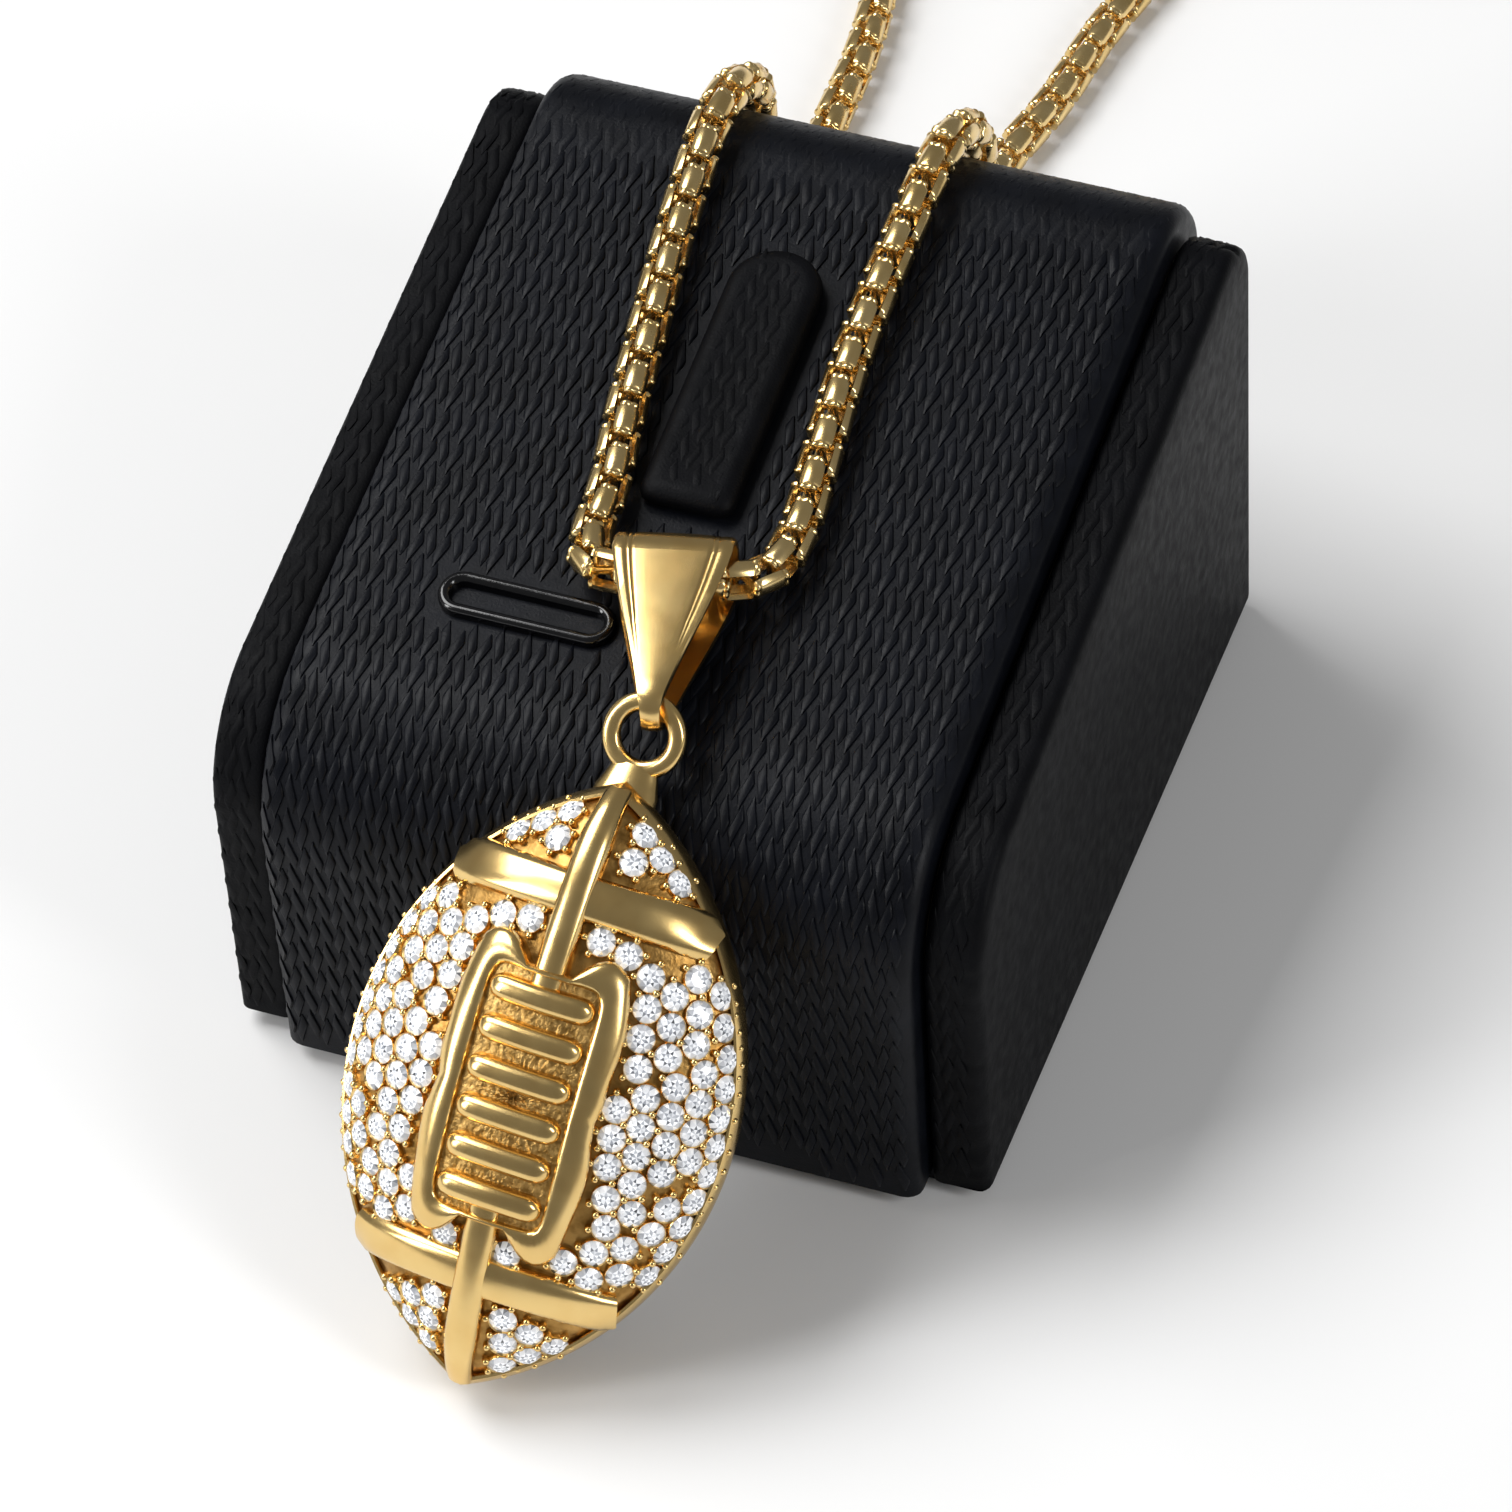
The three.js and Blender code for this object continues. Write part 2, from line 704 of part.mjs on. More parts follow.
function buildPendant(root) {
  const group = new THREE.Group();
  group.position.copy(hinge.centre);
  group.rotation.set(pendant.lean, 0, -pendant.tilt, "XYZ");
  root.add(group);
  add(group, "pendant_ring", ring(pendant.ringRadius, pendant.ringWire), gold);

  const body = new THREE.Group();
  body.position.y = football.y;
  group.add(body);

  const rise = pendant.dome - pendant.sunk;
  const inwards = 1 - pendant.wall / pendant.halfWidth;
  const hollow = domed(pendant.back - 1, rise - pendant.wall).scale([inwards, inwards, 1]);
  add(body, "pendant_shell", domed(pendant.back, rise).subtract(hollow), darkGold);
  buildFace(body);
}

// ---- the whole object ---------------------------------------------------------------------

const root = new THREE.Group();
const pad = padGroup();
root.add(pad);
buildStand(root);
buildTab(pad);
buildSlot(pad);
buildChain(root);
buildClasp(root);
buildEndRing(root);
buildBail(root);
buildPendant(root);

export default root;
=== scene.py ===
"""A black leatherette jewellery display block with a gold football pendant necklace laid over it."""
import json
import math
import random

import bmesh
import bpy
import numpy as np
from mathutils import Matrix, Vector


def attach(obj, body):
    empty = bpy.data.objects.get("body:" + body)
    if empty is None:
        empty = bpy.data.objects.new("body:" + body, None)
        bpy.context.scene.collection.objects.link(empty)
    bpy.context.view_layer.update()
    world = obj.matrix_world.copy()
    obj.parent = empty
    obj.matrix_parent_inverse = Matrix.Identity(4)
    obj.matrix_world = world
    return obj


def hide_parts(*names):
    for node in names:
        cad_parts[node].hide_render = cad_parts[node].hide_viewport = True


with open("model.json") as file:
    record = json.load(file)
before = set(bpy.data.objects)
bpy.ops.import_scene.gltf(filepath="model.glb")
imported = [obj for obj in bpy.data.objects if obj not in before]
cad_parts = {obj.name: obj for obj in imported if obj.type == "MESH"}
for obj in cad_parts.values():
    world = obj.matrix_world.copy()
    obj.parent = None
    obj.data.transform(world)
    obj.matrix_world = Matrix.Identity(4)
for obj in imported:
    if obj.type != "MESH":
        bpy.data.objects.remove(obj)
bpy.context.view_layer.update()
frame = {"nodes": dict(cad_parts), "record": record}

MM = 0.001
UP = Vector((0, 0, 1))
ACROSS = Vector((1, 0, 0))
SHARP_EDGE = 42  # degrees between two faces, above which their edge isn't smoothed

# ---- driving dimensions, in millimetres and degrees, as in the CAD model ---------------------

stand = dict(width=56, depth=60.5, front_height=30.5, back_height=40.22, front_radius=9.5,
             back_radius=5, pad_width=47, pad_proud=2, bottom=1.5, skin=1, cover=3.35)
slope = math.atan((stand["back_height"] - stand["front_height"]) / stand["depth"])

weave = dict(column=0.95, row=2.58, rise=0.1, shift=-0.64, length=2.2, short=1.2,
             lean_even=-18.7, lean_odd=16, height=0.15, chamfer=0.13, margin=0.55, buried=0.12,
             end_gap=1.5)
pad_edge = dict(radius=1.3, depth=1.1)
side_edge = dict(radius=0.9, depth=0.6)
crease = dict(count=60, width=0.35, reach=1.2, shallow=0.05, deep=0.14)

tab = dict(x=-1.2, low_end=24.6, high_end=47, width=6.9, thickness=1.5, gap=0.3, corner=1.0,
           bare=0.95, weave_scale=0.9)
slot = dict(x=-8.9, up=14.2, length=12, width=2.6, depth=3.6, outside=-0.32, underside=-0.35)

link = dict(pitch=1.73, half_length=1.44, reach=1.5, barrel=0.92, half_angle=62, thickness=0.4,
            neck=0.66, neck_depth=0.17, knob=0.2, tip=0.3, columns=11)
chain_roll = dict(left=24, right=-2, seen_at=35)
chain_diameter = 3
coil = dict(x=-10, y=121.75, outer_turn=18, wound=3.1, turns=1.25, on_table=1.55, upper=4.85,
            tail_level=1.85)

bail = dict(loop_radius=2.15, eye_radius=1.35, band=0.6, top_width=8.2, end_width=1.3,
            groove=0.075, grooves=(0.765, 0.675))

pendant = dict(lean=50, tilt=4.7, ring_x=3.25, ring_reach=7.1, ring_radius=2.33, ring_wire=0.66,
               half_length=21.6, half_width=13.9, bottom_tip=-46.3, back=-1, gap=0.3,
               rim_top=1, dome=6.8, wall=2.2, bed=0.45, open_back=0.9)
cross_bands = [dict(y=13, width=3, bow=1.2, height=0.6),
               dict(y=-13.6, width=3, bow=0.9, height=0.6)]
EDGE = 0.985  # the share of the pendant's outline that strips on its face may reach
bar_half_width = 1.22
panel = dict(x=0.1, y=0.2, waist=5.6, hip_x=6.5, hip_y=4.8, outer=5.2, inner=2.2, tip=3.8,
             end=9.8, reach=11.6, notch_x=1.3, notch_y=8)
sanded = dict(half_width=3.85, half_length=8.4, level=0.42, grit=0.06)
laces = dict(count=6, pitch=2.75, length=7.4, width=2.1, level=0.5, height=0.95)
stone = dict(radius=0.98, spacing=2.0, clear=0.7, outermost=0.955, rim_row=0.95, sunk=0.32)
bead = dict(count=6, reach=1.17, clear=1.1, apart=0.75, radius=0.27, sunk=0.12)

# The camera looks at the object from in front, on its right and above.
view = dict(azimuth=22.927, elevation=47.81, roll=-3.983, distance=578.475, lens=190.476,
            sensor=36, right=-0.043, up=3.666)


# ---- meshes ----------------------------------------------------------------------------------

class Shape:
    """Vertices in millimetres, faces and one painted highlight brightness a face, gathered for one mesh.
    """

    def __init__(self):
        self.points = []
        self.faces = []
        self.painted_glints = []

    def add(self, points, faces, place=None, painted_glints=None):
        start = len(self.points)
        if place is not None:
            points = [place @ Vector(p) for p in points]
        self.points.extend(points)
        self.faces.extend([tuple(start + i for i in face) for face in faces])
        self.painted_glints.extend(painted_glints or [0.0] * len(faces))

    def rings(self, rings, closed=True, caps=True, place=None):
        """Joins rings of as many points each; a closed ring's last point joins its first."""
        count = len(rings[0])
        sides = count if closed else count - 1
        points = [p for ring in rings for p in ring]
        faces = []
        for k in range(len(rings) - 1):
            for i in range(sides):
                a = k * count + i
                b = k * count + (i + 1) % count
                faces.append((a, b, b + count, a + count))
        if caps:
            last = (len(rings) - 1) * count
            faces.append(tuple(reversed(range(count))))
            faces.append(tuple(range(last, last + count)))
        self.add(points, faces, place)


def make(name, shape, finish, body, replaced=(), place=None, flat=False):
    """One piece from a shape: outward faces, a material, a body to ride on, CAD nodes it stands for."""
    mesh = bpy.data.meshes.new(name)
    points = shape.points if place is None else [place @ Vector(p) for p in shape.points]
    mesh.from_pydata([tuple(c * MM for c in p) for p in points], [], shape.faces)
    # Each face's painted highlight brightness, which paints the rhinestones' reflections.
    if any(shape.painted_glints):
        painted_glint = mesh.attributes.new("painted_glint", "FLOAT", "FACE")
        painted_glint.data.foreach_set("value", shape.painted_glints)
    mesh.validate()
    work = bmesh.new()
    work.from_mesh(mesh)
    bmesh.ops.recalc_face_normals(work, faces=work.faces)
    work.to_mesh(mesh)
    work.free()
    if not flat:
        mesh.shade_smooth()
        mesh.set_sharp_from_angle(angle=math.radians(SHARP_EDGE))
    mesh.materials.append(finish)
    piece = bpy.data.objects.new(name, mesh)
    bpy.context.scene.collection.objects.link(piece)
    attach(piece, body)
    if replaced:
        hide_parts(*replaced)
    return piece


def frame_of(x_axis, y_axis, z_axis, origin):
    """The placing matrix with these axes and this origin."""
    rows = [(x_axis[i], y_axis[i], z_axis[i], origin[i]) for i in range(3)]
    return Matrix(rows + [(0, 0, 0, 1)])


def round_ring(radius, z, sides):
    """A level ring of points about the origin."""
    return [(radius * math.cos(2 * math.pi * k / sides), radius * math.sin(2 * math.pi * k / sides), z)
            for k in range(sides)]


# ---- materials -------------------------------------------------------------------------------

def new_material(name, **inputs):
    """A material whose Principled shader has the given inputs set on its own sockets."""
    material = bpy.data.materials.new(name)
    material.use_nodes = True
    shader = material.node_tree.nodes["Principled BSDF"]
    for key, value in inputs.items():
        shader.inputs[key.replace("_", " ")].default_value = value
    return material, material.node_tree, shader


def noise(tree, scale, detail=3.0, stretch=None):
    """Noise in the piece's own coordinates; scale is in cells a metre."""
    where = tree.nodes.new("ShaderNodeTexCoord")
    texture = tree.nodes.new("ShaderNodeTexNoise")
    texture.inputs["Scale"].default_value = scale
    texture.inputs["Detail"].default_value = detail
    source = where.outputs["Object"]
    if stretch:
        mapping = tree.nodes.new("ShaderNodeMapping")
        mapping.inputs["Scale"].default_value = stretch
        tree.links.new(source, mapping.inputs["Vector"])
        source = mapping.outputs["Vector"]
    tree.links.new(source, texture.inputs["Vector"])
    return texture.outputs["Fac"]


def ramp(tree, value, stops, socket):
    """Maps a value to colours or greys through a colour ramp and links it to a socket."""
    node = tree.nodes.new("ShaderNodeValToRGB")
    elements = node.color_ramp.elements
    while len(elements) < len(stops):
        elements.new(0.5)
    for element, (position, colour) in zip(elements, stops):
        element.position = position
        element.color = (*colour, 1) if isinstance(colour, tuple) else (colour,) * 3 + (1,)
    tree.links.new(value, node.inputs["Fac"])
    tree.links.new(node.outputs["Color"], socket)


def bump(tree, shader, value, distance, strength=1.0):
    node = tree.nodes.new("ShaderNodeBump")
    node.inputs["Strength"].default_value = strength
    node.inputs["Distance"].default_value = distance
    tree.links.new(value, node.inputs["Height"])
    tree.links.new(node.outputs["Normal"], shader.inputs["Normal"])


def leather_material(name, low, high, grain, rough, gloss):
    material, tree, shader = new_material(name, Specular_IOR_Level=gloss)
    ramp(tree, noise(tree, 260), [(0.3, low), (0.7, high)], shader.inputs["Base Color"])
    ramp(tree, noise(tree, 900), [(0.3, rough[0]), (0.7, rough[1])], shader.inputs["Roughness"])
    bump(tree, shader, noise(tree, 5200, 5), grain)
    return material


def metal_material(name, low, high, rough, grain, cells=420):
    material, tree, shader = new_material(name, Metallic=1.0)
    ramp(tree, noise(tree, cells), [(0.35, low), (0.65, high)], shader.inputs["Base Color"])
    ramp(tree, noise(tree, 700), [(0.3, rough[0]), (0.7, rough[1])], shader.inputs["Roughness"])
    bump(tree, shader, noise(tree, 3600, 4), grain)
    return material


def mat_material(name, low, high, cells, grain, stretch=None):
    """A dull material: fibreboard, foam or felt."""
    material, tree, shader = new_material(name, Roughness=0.95, Specular_IOR_Level=0.2)
    value = noise(tree, cells, 6, stretch)
    ramp(tree, value, [(0.3, low), (0.7, high)], shader.inputs["Base Color"])
    bump(tree, shader, value, grain)
    return material


def crystal_material():
    """Foil-backed rhinestone with painted reflections: each facet's painted brightness stands for how
    much light it throws back, and the facets also glow a little by emission.
    """
    material, tree, shader = new_material(
        "crystal", Roughness=0.04, Specular_IOR_Level=0.9, Coat_Weight=1.0)
    painted_glint = tree.nodes.new("ShaderNodeAttribute")
    painted_glint.attribute_name = "painted_glint"
    # Black, grey and white facets are painted reflections that stand for the stones' sparkle.
    stops = [(0.0, (0.02, 0.022, 0.027)), (0.45, (0.32, 0.34, 0.38)), (1.0, (0.95, 0.96, 0.98))]
    ramp(tree, painted_glint.outputs["Fac"], stops, shader.inputs["Base Color"])
    # The same painted brightness drives emission, so the stones glow though they are no lamp.
    ramp(tree, painted_glint.outputs["Fac"], stops, shader.inputs["Emission Color"])
    shader.inputs["Emission Strength"].default_value = 0.3
    bump(tree, shader, noise(tree, 1500, 2), 0.000004)
    return material


leather = leather_material("leatherette", (0.0016, 0.0020, 0.0034), (0.0034, 0.0042, 0.0068),
                           0.00002, (0.36, 0.48), 0.13)
smooth_leather = leather_material("smooth_leatherette", (0.0012, 0.0013, 0.0018),
                                  (0.0024, 0.0026, 0.0036), 0.00003, (0.46, 0.6), 0.07)
lining = leather_material("slot_plastic", (0.0010, 0.0010, 0.0013), (0.0020, 0.0020, 0.0026),
                          0.000004, (0.1, 0.2), 0.5)
board = mat_material("board", (0.36, 0.26, 0.15), (0.5, 0.38, 0.24), 900, 0.0001)
foam = mat_material("foam", (0.03, 0.03, 0.033), (0.08, 0.08, 0.086), 1800, 0.0003)
felt = mat_material("felt", (0.006, 0.006, 0.007), (0.02, 0.02, 0.023), 2600, 0.0002, (1, 2.5, 1))
chain_gold = metal_material("chain_gold", (0.78, 0.55, 0.22), (0.88, 0.66, 0.31), (0.2, 0.28),
                            0.000002)
pendant_gold = metal_material("pendant_gold", (0.76, 0.52, 0.20), (0.80, 0.57, 0.235), (0.2, 0.25),
                              0.0000008)
# Dark gold, painted shade: it darkens the bed between the pendant's stones and the clasp's pin.
aged_gold = metal_material("aged_gold", (0.24, 0.125, 0.03), (0.48, 0.28, 0.085), (0.3, 0.45),
                           0.00003, 900)
sand_gold = metal_material("sand_gold", (0.30, 0.17, 0.045), (0.60, 0.38, 0.13), (0.34, 0.5),
                           0.0001, 2200)
crystal = crystal_material()


# ---- the block's outline ---------------------------------------------------------------------

class Outline:
    """The block's side outline, from the front's foot over the slope to the back's foot.

    It stands `proud` outside the side boards' own outline, and `s` is the length along it."""

    def __init__(self, proud):
        half = stand["depth"] / 2 + proud
        middle = (stand["front_height"] + stand["back_height"]) / 2
        self.front = stand["front_radius"] + proud
        self.back = stand["back_radius"] + proud
        self.half = half

        def level(y, radius):
            return middle + y * math.tan(slope) + (proud - radius) / math.cos(slope)

        self.front_z = level(self.front - half, self.front)
        self.back_z = level(half - self.back, self.back)
        bottom = stand["bottom"]
        rise = self.back_z - self.front_z + (self.back - self.front) * math.cos(slope)
        self.lengths = [
            self.front_z - bottom,
            self.front * (math.pi / 2 - slope),
            rise / math.sin(slope),
            self.back * (math.pi / 2 + slope),
            self.back_z - bottom,
        ]
        self.ends = np.cumsum(self.lengths)
        self.total = float(self.ends[-1])

    def at(self, s, lift=0.0):
        """The point at s, `lift` off the outline, as (y, z)."""
        bottom = stand["bottom"]
        wall, front_bend, face, back_bend, _ = self.lengths
        if s < wall:
            return -self.half - lift, bottom + s
        s -= wall
        if s < front_bend:
            angle = math.pi - s / self.front
            reach = self.front + lift
            return (-self.half + self.front + reach * math.cos(angle),
                    self.front_z + reach * math.sin(angle))
        s -= front_bend
        if s < face:
            angle = math.pi / 2 + slope
            reach = self.front + lift
            y = -self.half + self.front + reach * math.cos(angle) + s * math.cos(slope)
            z = self.front_z + reach * math.sin(angle) + s * math.sin(slope)
            return y, z
        s -= face
        if s < back_bend:
            angle = math.pi / 2 + slope - s / self.back
            reach = self.back + lift
            return (self.half - self.back + reach * math.cos(angle),
                    self.back_z + reach * math.sin(angle))
        s -= back_bend
        return self.half + lift, self.back_z - s

    def stations(self, bend_steps=14, straight_steps=12):
        """Values of s that are close together round the bends."""
        found = [0.0]
        start = 0.0
        for i, length in enumerate(self.lengths):
            steps = bend_steps if i in (1, 3) else straight_steps
            found += [start + length * (k + 1) / steps for k in range(steps)]
            start += length
        found[-1] = self.total
        return found


def smoothstep(low, high, value):
    t = min(1, max(0, (value - low) / (high - low)))
    return t * t * (3 - 2 * t)


def edge_drop(x, left, right, radius, depth):
    """How far a surface falls near its two side edges, as a rounded shoulder."""
    near = min(x - left, right - x)
    if near >= radius:
        return 0.0
    t = 1 - max(0.0, near) / radius
    return depth * (1 - math.sqrt(max(0.0, 1 - t * t)))


def facet_outline(lean, other):
    """The eight-cornered outline of one woven facet about its middle, in x and s."""
    own = Vector((math.sin(math.radians(lean)), math.cos(math.radians(lean))))
    cut = Vector((math.sin(math.radians(other)), math.cos(math.radians(other))))
    half = own * weave["length"] / 2
    short = cut * weave["short"] / 2
    corners = [-half - short, half - short, half + short, -half + short]
    outline = []
    for i, corner in enumerate(corners):
        before = (corners[i - 1] - corner).normalized()
        after = (corners[(i + 1) % 4] - corner).normalized()
        outline += [corner + before * weave["chamfer"], corner + after * weave["chamfer"]]
    return outline


EVEN_FACET = facet_outline(weave["lean_even"], weave["lean_odd"])
ODD_FACET = facet_outline(weave["lean_odd"], weave["lean_even"])


def add_weave(shape, outline, left, right, drop, fade):
    """Adds woven facets between two X values.

    drop(x) is how far the surface lies below the outline; fade(x, s) is a facet's height share."""
    tall = weave["height"]
    levels = [(1.0, -weave["buried"]), (0.98, 0.4 * tall), (0.8, tall)]
    last = outline.total - weave["end_gap"]
    columns = int((right - left) / weave["column"]) + 2
    rows = int(outline.total / weave["row"]) + 3
    for column in range(columns):
        x = left + weave["margin"] + column * weave["column"]
        if x > right - weave["margin"]:
            break
        corners = ODD_FACET if column % 2 else EVEN_FACET
        offset = weave["rise"] * column + (weave["shift"] if column % 2 else 0)
        for row in range(-2, rows):
            s = row * weave["row"] + offset
            share = fade(x, s)
            if s < weave["end_gap"] or s > last or share < 0.05:
                continue
            rings = []
            for scale, level in levels:
                ring = []
                for corner in corners:
                    px = min(right - 0.12, max(left + 0.12, x + corner.x * scale))
                    lift = (level if level < 0 else level * share) - drop(px) - tall
                    y, z = outline.at(s + corner.y * scale, lift)
                    ring.append((px, y, z))
                rings.append(ring)
            shape.rings(rings)


# ---- the display block -----------------------------------------------------------------------

pad_outline = Outline(stand["pad_proud"])
side_outline = Outline(0)


def build_pad():
    """The padded cover: a folded skin over the block's front, slope and back, woven on its face."""
    half = stand["pad_width"] / 2 + 0.12
    inner = half - 0.1
    radius = pad_edge["radius"]

    def drop(x):
        return edge_drop(x, -half, half, radius, pad_edge["depth"])

    across = [-half + step for step in (0, 0.08, 0.22, 0.45, 0.8, radius)]
    flat_steps = 24
    flat = [-half + radius + (half - radius) * 2 * k / flat_steps for k in range(1, flat_steps)]
    across = across + flat + [-x for x in reversed(across)]
    lower = [(half, -stand["cover"]), (inner, -stand["cover"]), (inner, -stand["skin"]),
             (-inner, -stand["skin"]), (-inner, -stand["cover"]), (-half, -stand["cover"])]
    rings = []
    for s in pad_outline.stations():
        ring = [(x, *pad_outline.at(s, -drop(x) - weave["height"])) for x in across]
        ring += [(x, *pad_outline.at(s, lift)) for x, lift in lower]
        rings.append(ring)
    shape = Shape()
    shape.rings(rings)
    slope_end = pad_outline.ends[2]

    def fade(x, s):
        """Full on the slope and the front, faint round the back bend, none at the slot and tongue."""
        top = 1 - 0.85 * smoothstep(slope_end - 3.4, slope_end - 1.4, s)
        top += 0.6 * smoothstep(slope_end + 8, slope_end + 11, s)
        along = slope_along(s)
        in_slot = abs(x - slot["x"]) < slot["length"] / 2 + 0.9 and abs(along - slot["up"]) < 2.6
        return 0.0 if in_slot or near_tab(x, along, tab["bare"]) else top

    add_weave(shape, pad_outline, -half, half, drop, fade)
    pad = make("pad_cover", shape, leather, "block", ["pad_skin"])


def slope_along(s):
    """How far up the slope a point of the pad's outline lies, from the slope's foot line."""
    y, _ = pad_outline.at(s)
    foot = -stand["depth"] / 2 - stand["pad_proud"] * math.sin(slope)
    return (y - foot) / math.cos(slope)


def near_tab(x, along, margin):
    """Whether a point of the pad is under the clip tongue or within a margin of it."""
    reach = tab["width"] / 2 + margin
    middle = tab["high_end"] - tab["width"] / 2
    if along < tab["low_end"] - margin:
        return False
    return math.hypot(x - tab["x"], max(0.0, along - middle)) < reach


def build_side_board(name, left, right, seed):
    """A side board in smooth leatherette with a narrow woven edge and small creases."""
    rng = random.Random(seed)
    creases = [(rng.uniform(0, side_outline.total), rng.uniform(crease["shallow"], crease["deep"]))
               for _ in range(crease["count"])]
    middle = abs(left + right) / 2

    def crease_depth(s, x):
        near = [(s - at, deep) for at, deep in creases if abs(s - at) < crease["reach"]]
        outward = smoothstep(0.2, 2.6, abs(x) - middle + 1.6)
        return sum(deep * math.exp(-((off / crease["width"]) ** 2)) for off, deep in near) * outward

    inner, outer = (left, right) if right > 0 else (right, left)
    outward = 1 if right > 0 else -1
    # Steps from the board's inner face to its outer one, with how far each lies below the outline.
    profile = [(0.0, 1.0), (0.06, 0.55), (0.2, 0.28), (0.42, 0.1), (0.7, 0.02), (1.0, 0.0), (1.7, 0.0),
               (2.5, 0.0), (3.2, 0.0), (3.5, 0.02), (3.75, 0.1), (3.95, 0.28), (4.1, 0.55), (4.2, 1.0)]
    creased = 0.3  # deeper than this, the rounded edges have no creases
    foot = stand["bottom"]
    stations = side_outline.stations(26, 40)
    rings = []
    for step, deep in profile:
        x = inner + outward * step
        ring = []
        for s in stations:
            sunk = deep + weave["height"] + (crease_depth(s, x) if deep < creased else 0)
            ring.append((x, *side_outline.at(s, -sunk)))
        ring.append((x, side_outline.half - deep - 0.2, foot))
        ring.append((x, -side_outline.half + deep + 0.2, foot))
        rings.append(ring)
    shape = Shape()
    shape.rings(rings)

    def fade(x, s):
        share = 1 - abs(x - inner) / abs(outer - inner)
        return 0.1 + 0.4 * smoothstep(0.05, 0.6, share)

    def drop(x):
        return edge_drop(x, left, right, side_edge["radius"], side_edge["depth"])

    add_weave(shape, side_outline, left + 0.1, right - 0.5, drop, fade)
    make(name + "_cover", shape, smooth_leather, "block", [name])


def pad_place():
    """Where a point (x, up the slope, off the pad) of the pad's own frame is."""
    foot = Vector((0, -stand["depth"] / 2 - stand["pad_proud"] * math.sin(slope),
                   stand["front_height"] + stand["pad_proud"] * math.cos(slope)))
    return Matrix.Translation(foot) @ Matrix.Rotation(slope, 4, "X")


def rounded_tongue(inset, steps=20, corner_steps=5):
    """The clip tongue's outline: a straight low end with small corners and a round high end."""
    half = tab["width"] / 2 - inset
    corner = tab["corner"]
    centre = tab["high_end"] - tab["width"] / 2
    low = tab["low_end"] + inset
    points = []
    for k in range(steps + 1):
        angle = math.pi * k / steps
        points.append((tab["x"] + half * math.cos(angle), centre + half * math.sin(angle)))
    for side, turn in ((-1, math.pi), (1, 1.5 * math.pi)):
        for k in range(corner_steps + 1):
            angle = turn + math.pi / 2 * k / corner_steps
            points.append((tab["x"] + side * (half - corner) + corner * math.cos(angle),
                           low + corner + corner * math.sin(angle)))
    return points


def build_tab():
    """The clip tongue: a soft-edged oblong with a bare border and a faint weave in its middle."""
    shape = Shape()
    top = tab["gap"] + tab["thickness"]
    levels = [(0.25, tab["gap"]), (0.02, tab["gap"] + 0.2), (0.0, top - 0.95), (0.1, top - 0.6),
              (0.35, top - 0.3), (0.75, top - 0.1), (1.2, top - 0.02), (1.7, top - 0.1)]
    shape.rings([[(x, y, z) for x, y in rounded_tongue(inset)] for inset, z in levels])
    scale = tab["weave_scale"]
    facet = [(1.0, -0.17), (0.94, -0.09), (0.7, -0.05)]  # its outline's size and level under the top
    middle = tab["high_end"] - tab["width"] / 2
    columns, rows = 8, 9
    for column in range(columns):
        x = tab["x"] + (column - (columns - 1) / 2) * weave["column"] * scale
        corners = ODD_FACET if column % 2 else EVEN_FACET
        for row in range(rows):
            y = tab["low_end"] + 2 + row * weave["row"] * scale + (column % 2) * weave["shift"]
            far = math.hypot(x - tab["x"], max(0, y - middle))
            if far > tab["width"] / 2 - 1.3 or y < tab["low_end"] + 1.8:
                continue
            shape.rings([[(x + c.x * size * scale, y + c.y * size * scale, top + z) for c in corners]
                         for size, z in facet])
    make("clip_tongue", shape, smooth_leather, "tab", ["clip_tab"], pad_place())


def slot_ring(grow, z, steps=16):
    """A long round-ended ring at height z, `grow` outside the slot's own edge."""
    radius = slot["width"] / 2 + grow
    reach = slot["length"] / 2 + grow - radius
    points = []
    for side in (1, -1):
        for k in range(steps + 1):
            angle = -side * math.pi / 2 + math.pi * k / steps
            points.append((slot["x"] + side * reach + radius * math.cos(angle),
                           slot["up"] + radius * math.sin(angle), z))
    return points


def build_slot():
    """The glossy black lining: a rolled lip, straight walls and a floor."""
    deep = -slot["depth"]
    section = [(slot["outside"], slot["underside"]), (0.42, -0.35), (0.46, 0.1), (0.42, 0.38),
               (0.3, 0.6), (0.1, 0.7), (-0.15, 0.66), (-0.35, 0.48), (-0.46, 0.2), (-0.5, -0.4),
               (-0.5, deep + 0.6), (-0.62, deep + 0.3)]
    outer = [slot_ring(slot["outside"], deep), slot_ring(slot["outside"], slot["underside"])]
    shape = Shape()
    shape.rings([slot_ring(grow, z) for grow, z in section], caps=False)
    shape.rings(outer, caps=False)
    for floor in (slot_ring(*section[-1]), outer[0]):
        shape.add(floor, [tuple(range(len(floor)))])
    make("slot_rim", shape, lining, "block", ["slot_lining"], pad_place())


# ---- the chain -------------------------------------------------------------------------------

def on_pad(x, up, lift):
    return pad_place() @ Vector((x, up, lift))


LYING = chain_diameter / 2 + 0.3


def left_strand():
    pad = [(0.75, 17.8, 3.2), (-1.4, 17.3, 3.2), (-3.5, 16.9, 3.15), (-5.4, 18, 2.5),
           (-6.2, 20.8, 1.9), (-6.4, 24.2, LYING), (-7.4, 30.5, LYING), (-8.3, 37.5, LYING),
           (-9.2, 44.7, LYING), (-9.8, 51, LYING), (-10.1, 55.2, LYING)]
    table = coil["on_table"]
    free = [(-10.1, 28.25, 42.65), (-10.2, 32.55, 39.35), (-10.5, 34.2, 34.3), (-11.3, 34.25, 24),
            (-12.2, 34.55, 13), (-13, 36, 6), (-14.2, 39.7, 2.2), (-15.5, 45.5, table),
            (-17.7, 56, table), (-18.4, 67.75, table), (-18.7, 75.75, table),
            (-19.8, 83.5, table), (-23, 96, table), (-27, 106.75, table)]
    return [on_pad(*p) for p in pad] + [Vector(p) for p in free]


